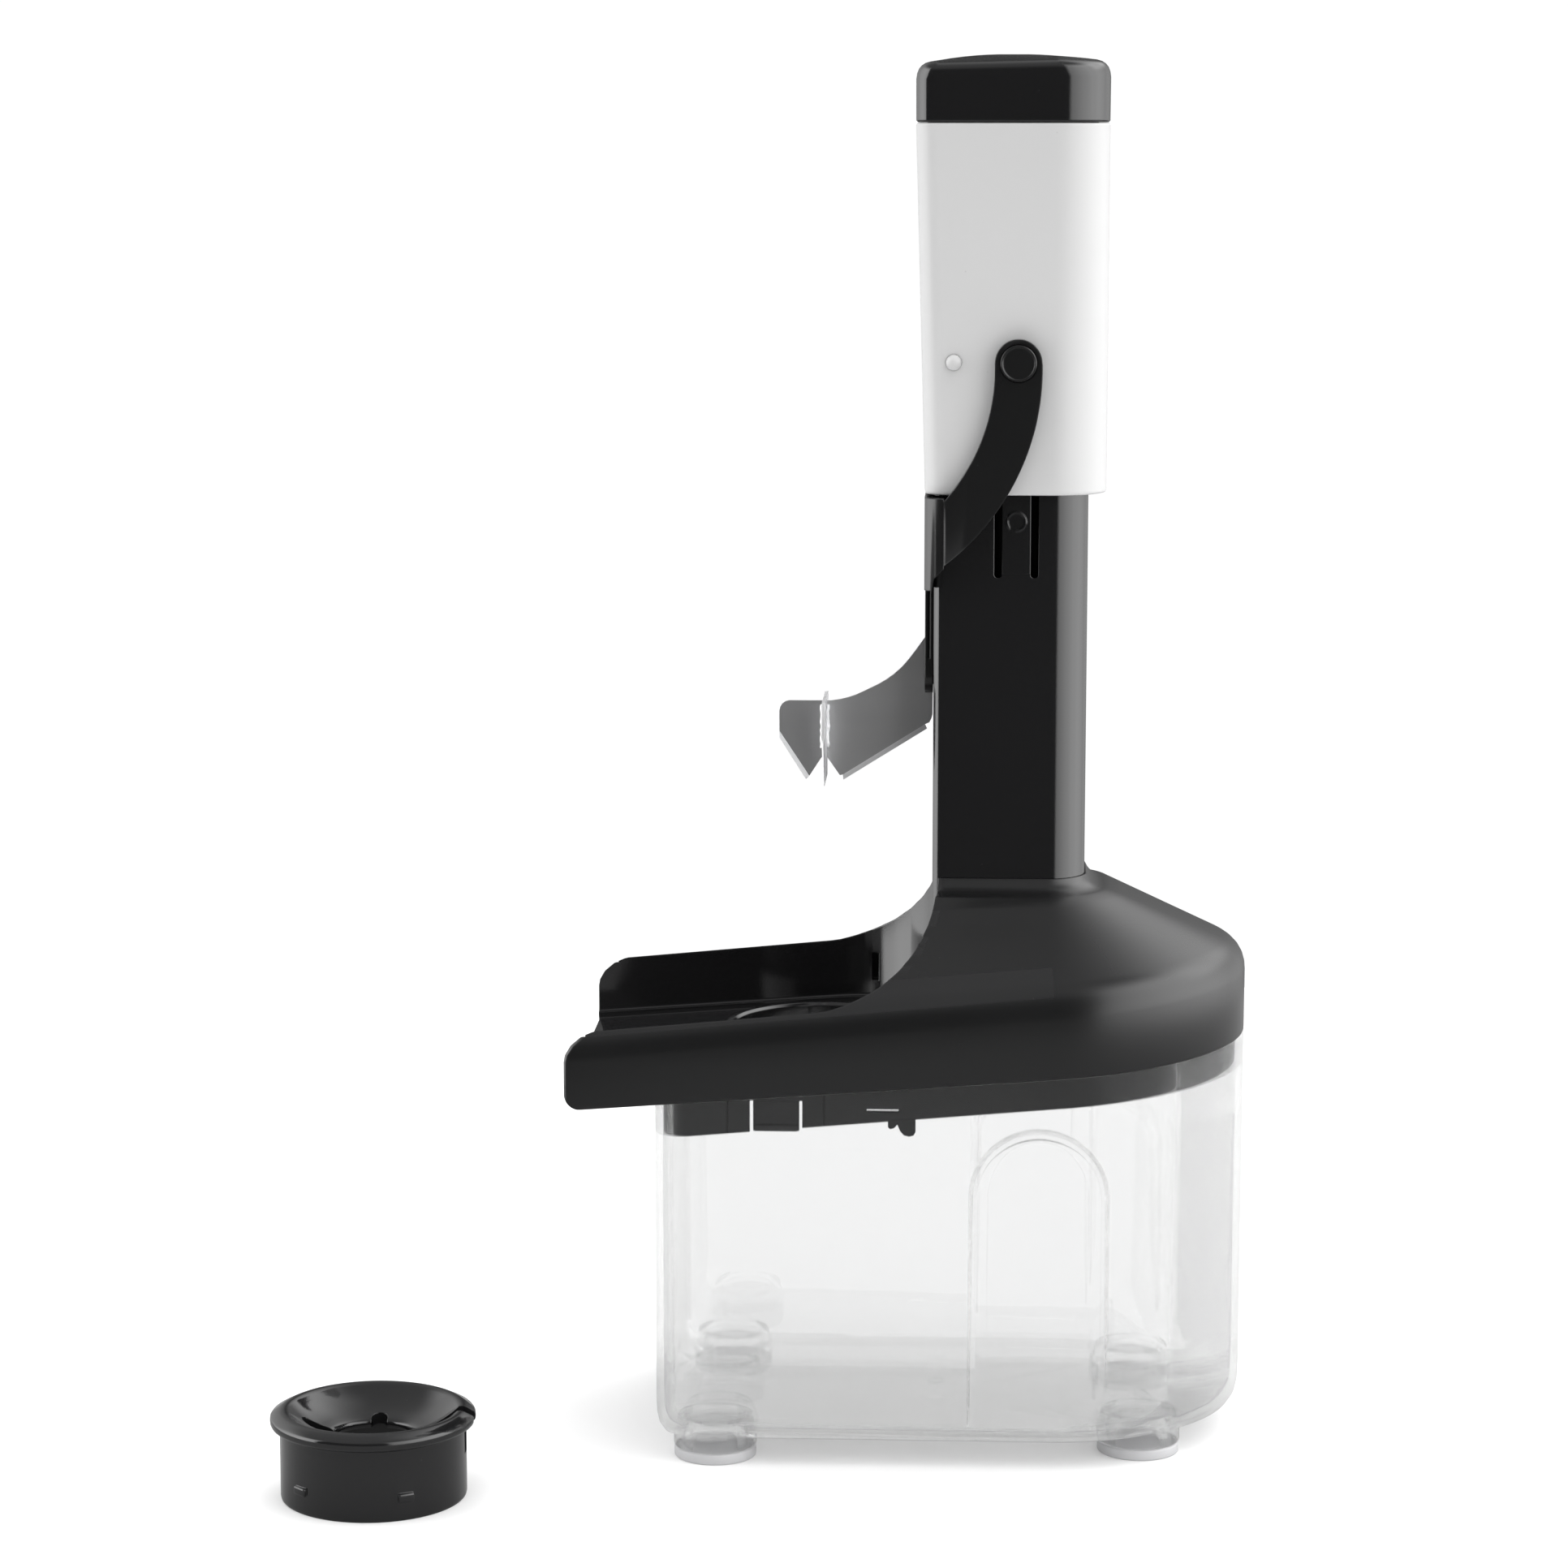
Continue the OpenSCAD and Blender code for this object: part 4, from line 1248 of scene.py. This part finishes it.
def studio_world():
    """White surround; the lights are two tall side panels, a soft ceiling and a dim front and back."""
    world = bpy.data.worlds.new("studio")
    bpy.context.scene.world = world
    world.use_nodes = True
    world.cycles.sampling_method = "NONE"
    nodes, links = world.node_tree.nodes, world.node_tree.links
    ground = nodes["Background"]
    where = nodes.new("ShaderNodeTexCoord")
    parts = nodes.new("ShaderNodeSeparateXYZ")
    links.new(where.outputs["Generated"], parts.inputs["Vector"])

    def maths(kind, first, second=None, third=None):
        node = nodes.new("ShaderNodeMath")
        node.operation = kind
        for slot, value in enumerate((first, second, third)):
            if value is None:
                continue
            if isinstance(value, (int, float)):
                node.inputs[slot].default_value = value
            else:
                links.new(value, node.inputs[slot])
        return node.outputs["Value"]

    def between(value, low, high, out_low=0.0, out_high=1.0):
        node = nodes.new("ShaderNodeMapRange")
        node.interpolation_type = "SMOOTHSTEP"
        node.inputs["From Min"].default_value = low
        node.inputs["From Max"].default_value = high
        node.inputs["To Min"].default_value = out_low
        node.inputs["To Max"].default_value = out_high
        links.new(value, node.inputs["Value"])
        return node.outputs["Result"]

    x, y, z = parts.outputs["X"], parts.outputs["Y"], parts.outputs["Z"]
    turn = maths("DIVIDE", maths("ARCTAN2", maths("ABSOLUTE", x), maths("MULTIPLY", y, -1.0)), math.pi)

    def ramp(value, stops):
        node = nodes.new("ShaderNodeValToRGB")
        line = node.color_ramp
        line.interpolation = "LINEAR"
        while len(line.elements) < len(stops):
            line.elements.new(0.5)
        for element, (place, amount) in zip(line.elements, stops):
            element.position = place
            element.color = (amount, amount, amount, 1)
        links.new(value, node.inputs["Fac"])
        return node.outputs["Color"]

    # brightness of each side panel from the front, 0, round to the back, 1
    fading = [(0.72, 0.32), (0.88, 0.09), (1.0, 0.0)]
    right_stops = [(0.0, 0.0), (0.128, 0.0), (0.165, 0.55), (0.30, 0.85), (0.43, 1.0), (0.55, 0.86)]
    left_stops = [(0.0, 0.0), (0.31, 0.0), (0.335, 1.05), (0.45, 1.15), (0.55, 0.9)]
    right = ramp(turn, right_stops + fading)
    left = ramp(turn, left_stops + fading)
    side = maths("GREATER_THAN", x, 0.0)
    left_share = maths("MULTIPLY", left, maths("SUBTRACT", 1.0, side))
    panel = maths("ADD", maths("MULTIPLY", right, side), left_share)
    # the right panel reaches 0.14 higher than the left one
    upper = maths("SUBTRACT", maths("MULTIPLY_ADD", side, 0.14, z), maths("MULTIPLY", side, 0.28))
    panel = maths("MULTIPLY", maths("MULTIPLY", panel, 4.8), between(upper, 0.80, 0.50))
    panel = maths("MULTIPLY", panel, between(z, -0.32, -0.16))
    ceiling = between(z, 0.50, 0.80)
    light = maths("ADD", panel, maths("MULTIPLY", ceiling, 0.5))
    # a paler patch high behind, towards the right
    patch = maths("MULTIPLY", between(x, -0.05, 0.55), between(y, -0.1, 0.3))
    light = maths("MULTIPLY_ADD", maths("MULTIPLY", patch, between(z, 0.22, 0.48)), 1.6, light)
    light = maths("ADD", light, 0.07)
    path = nodes.new("ShaderNodeLightPath")
    # matt surfaces get a gentler, more even light than the shine does
    even = maths("ADD", maths("MULTIPLY", panel, -0.62), 0.48)
    light = maths("ADD", light, maths("MULTIPLY", even, path.outputs["Is Diffuse Ray"]))
    through = path.outputs["Is Transmission Ray"]
    # what bends through the clear plastic: pale grey ahead, darker to the sides
    ahead = between(maths("ABSOLUTE", y), 0.60, 0.98, 0.30, 0.84)
    seen = path.outputs["Is Camera Ray"]
    direct = maths("SUBTRACT", 1.0, maths("MAXIMUM", seen, through))
    strength = maths("ADD", maths("MULTIPLY", light, direct), maths("MULTIPLY", seen, 1.02))
    strength = maths("ADD", strength, maths("MULTIPLY", through, ahead))
    ground.inputs["Color"].default_value = (1, 1, 1, 1)
    links.new(strength, ground.inputs["Strength"])


def overhead():
    lamp = bpy.data.lights.new("overhead", "SUN")
    lamp.energy = 2.2
    lamp.angle = math.radians(70)
    obj = bpy.data.objects.new("overhead", lamp)
    bpy.context.scene.collection.objects.link(obj)
    obj.rotation_euler = (math.radians(-6), math.radians(4), 0)
    obj.visible_glossy = False


def camera():
    lens = bpy.data.cameras.new("camera")
    lens.sensor_width = 36
    lens.lens = 5225 / 1932 * 36
    lens.clip_end = 20
    obj = bpy.data.objects.new("camera", lens)
    bpy.context.scene.collection.objects.link(obj)
    obj.location = (axis_x - 0.005, axis_y - 1.1, 0.3405)
    obj.rotation_euler = (math.radians(90 - 8.8), 0, math.radians(2.8))
    bpy.context.scene.camera = obj


container()
foot_pads()
hopper()
snaps()
tower()
tongues()
sleeve()
cap()
pegs()
yoke()
pins()
main_blade()
cross_blade()
ring_insert()
stage_floor()
studio_world()
overhead()
camera()
bpy.context.scene.view_settings.view_transform = "Standard"
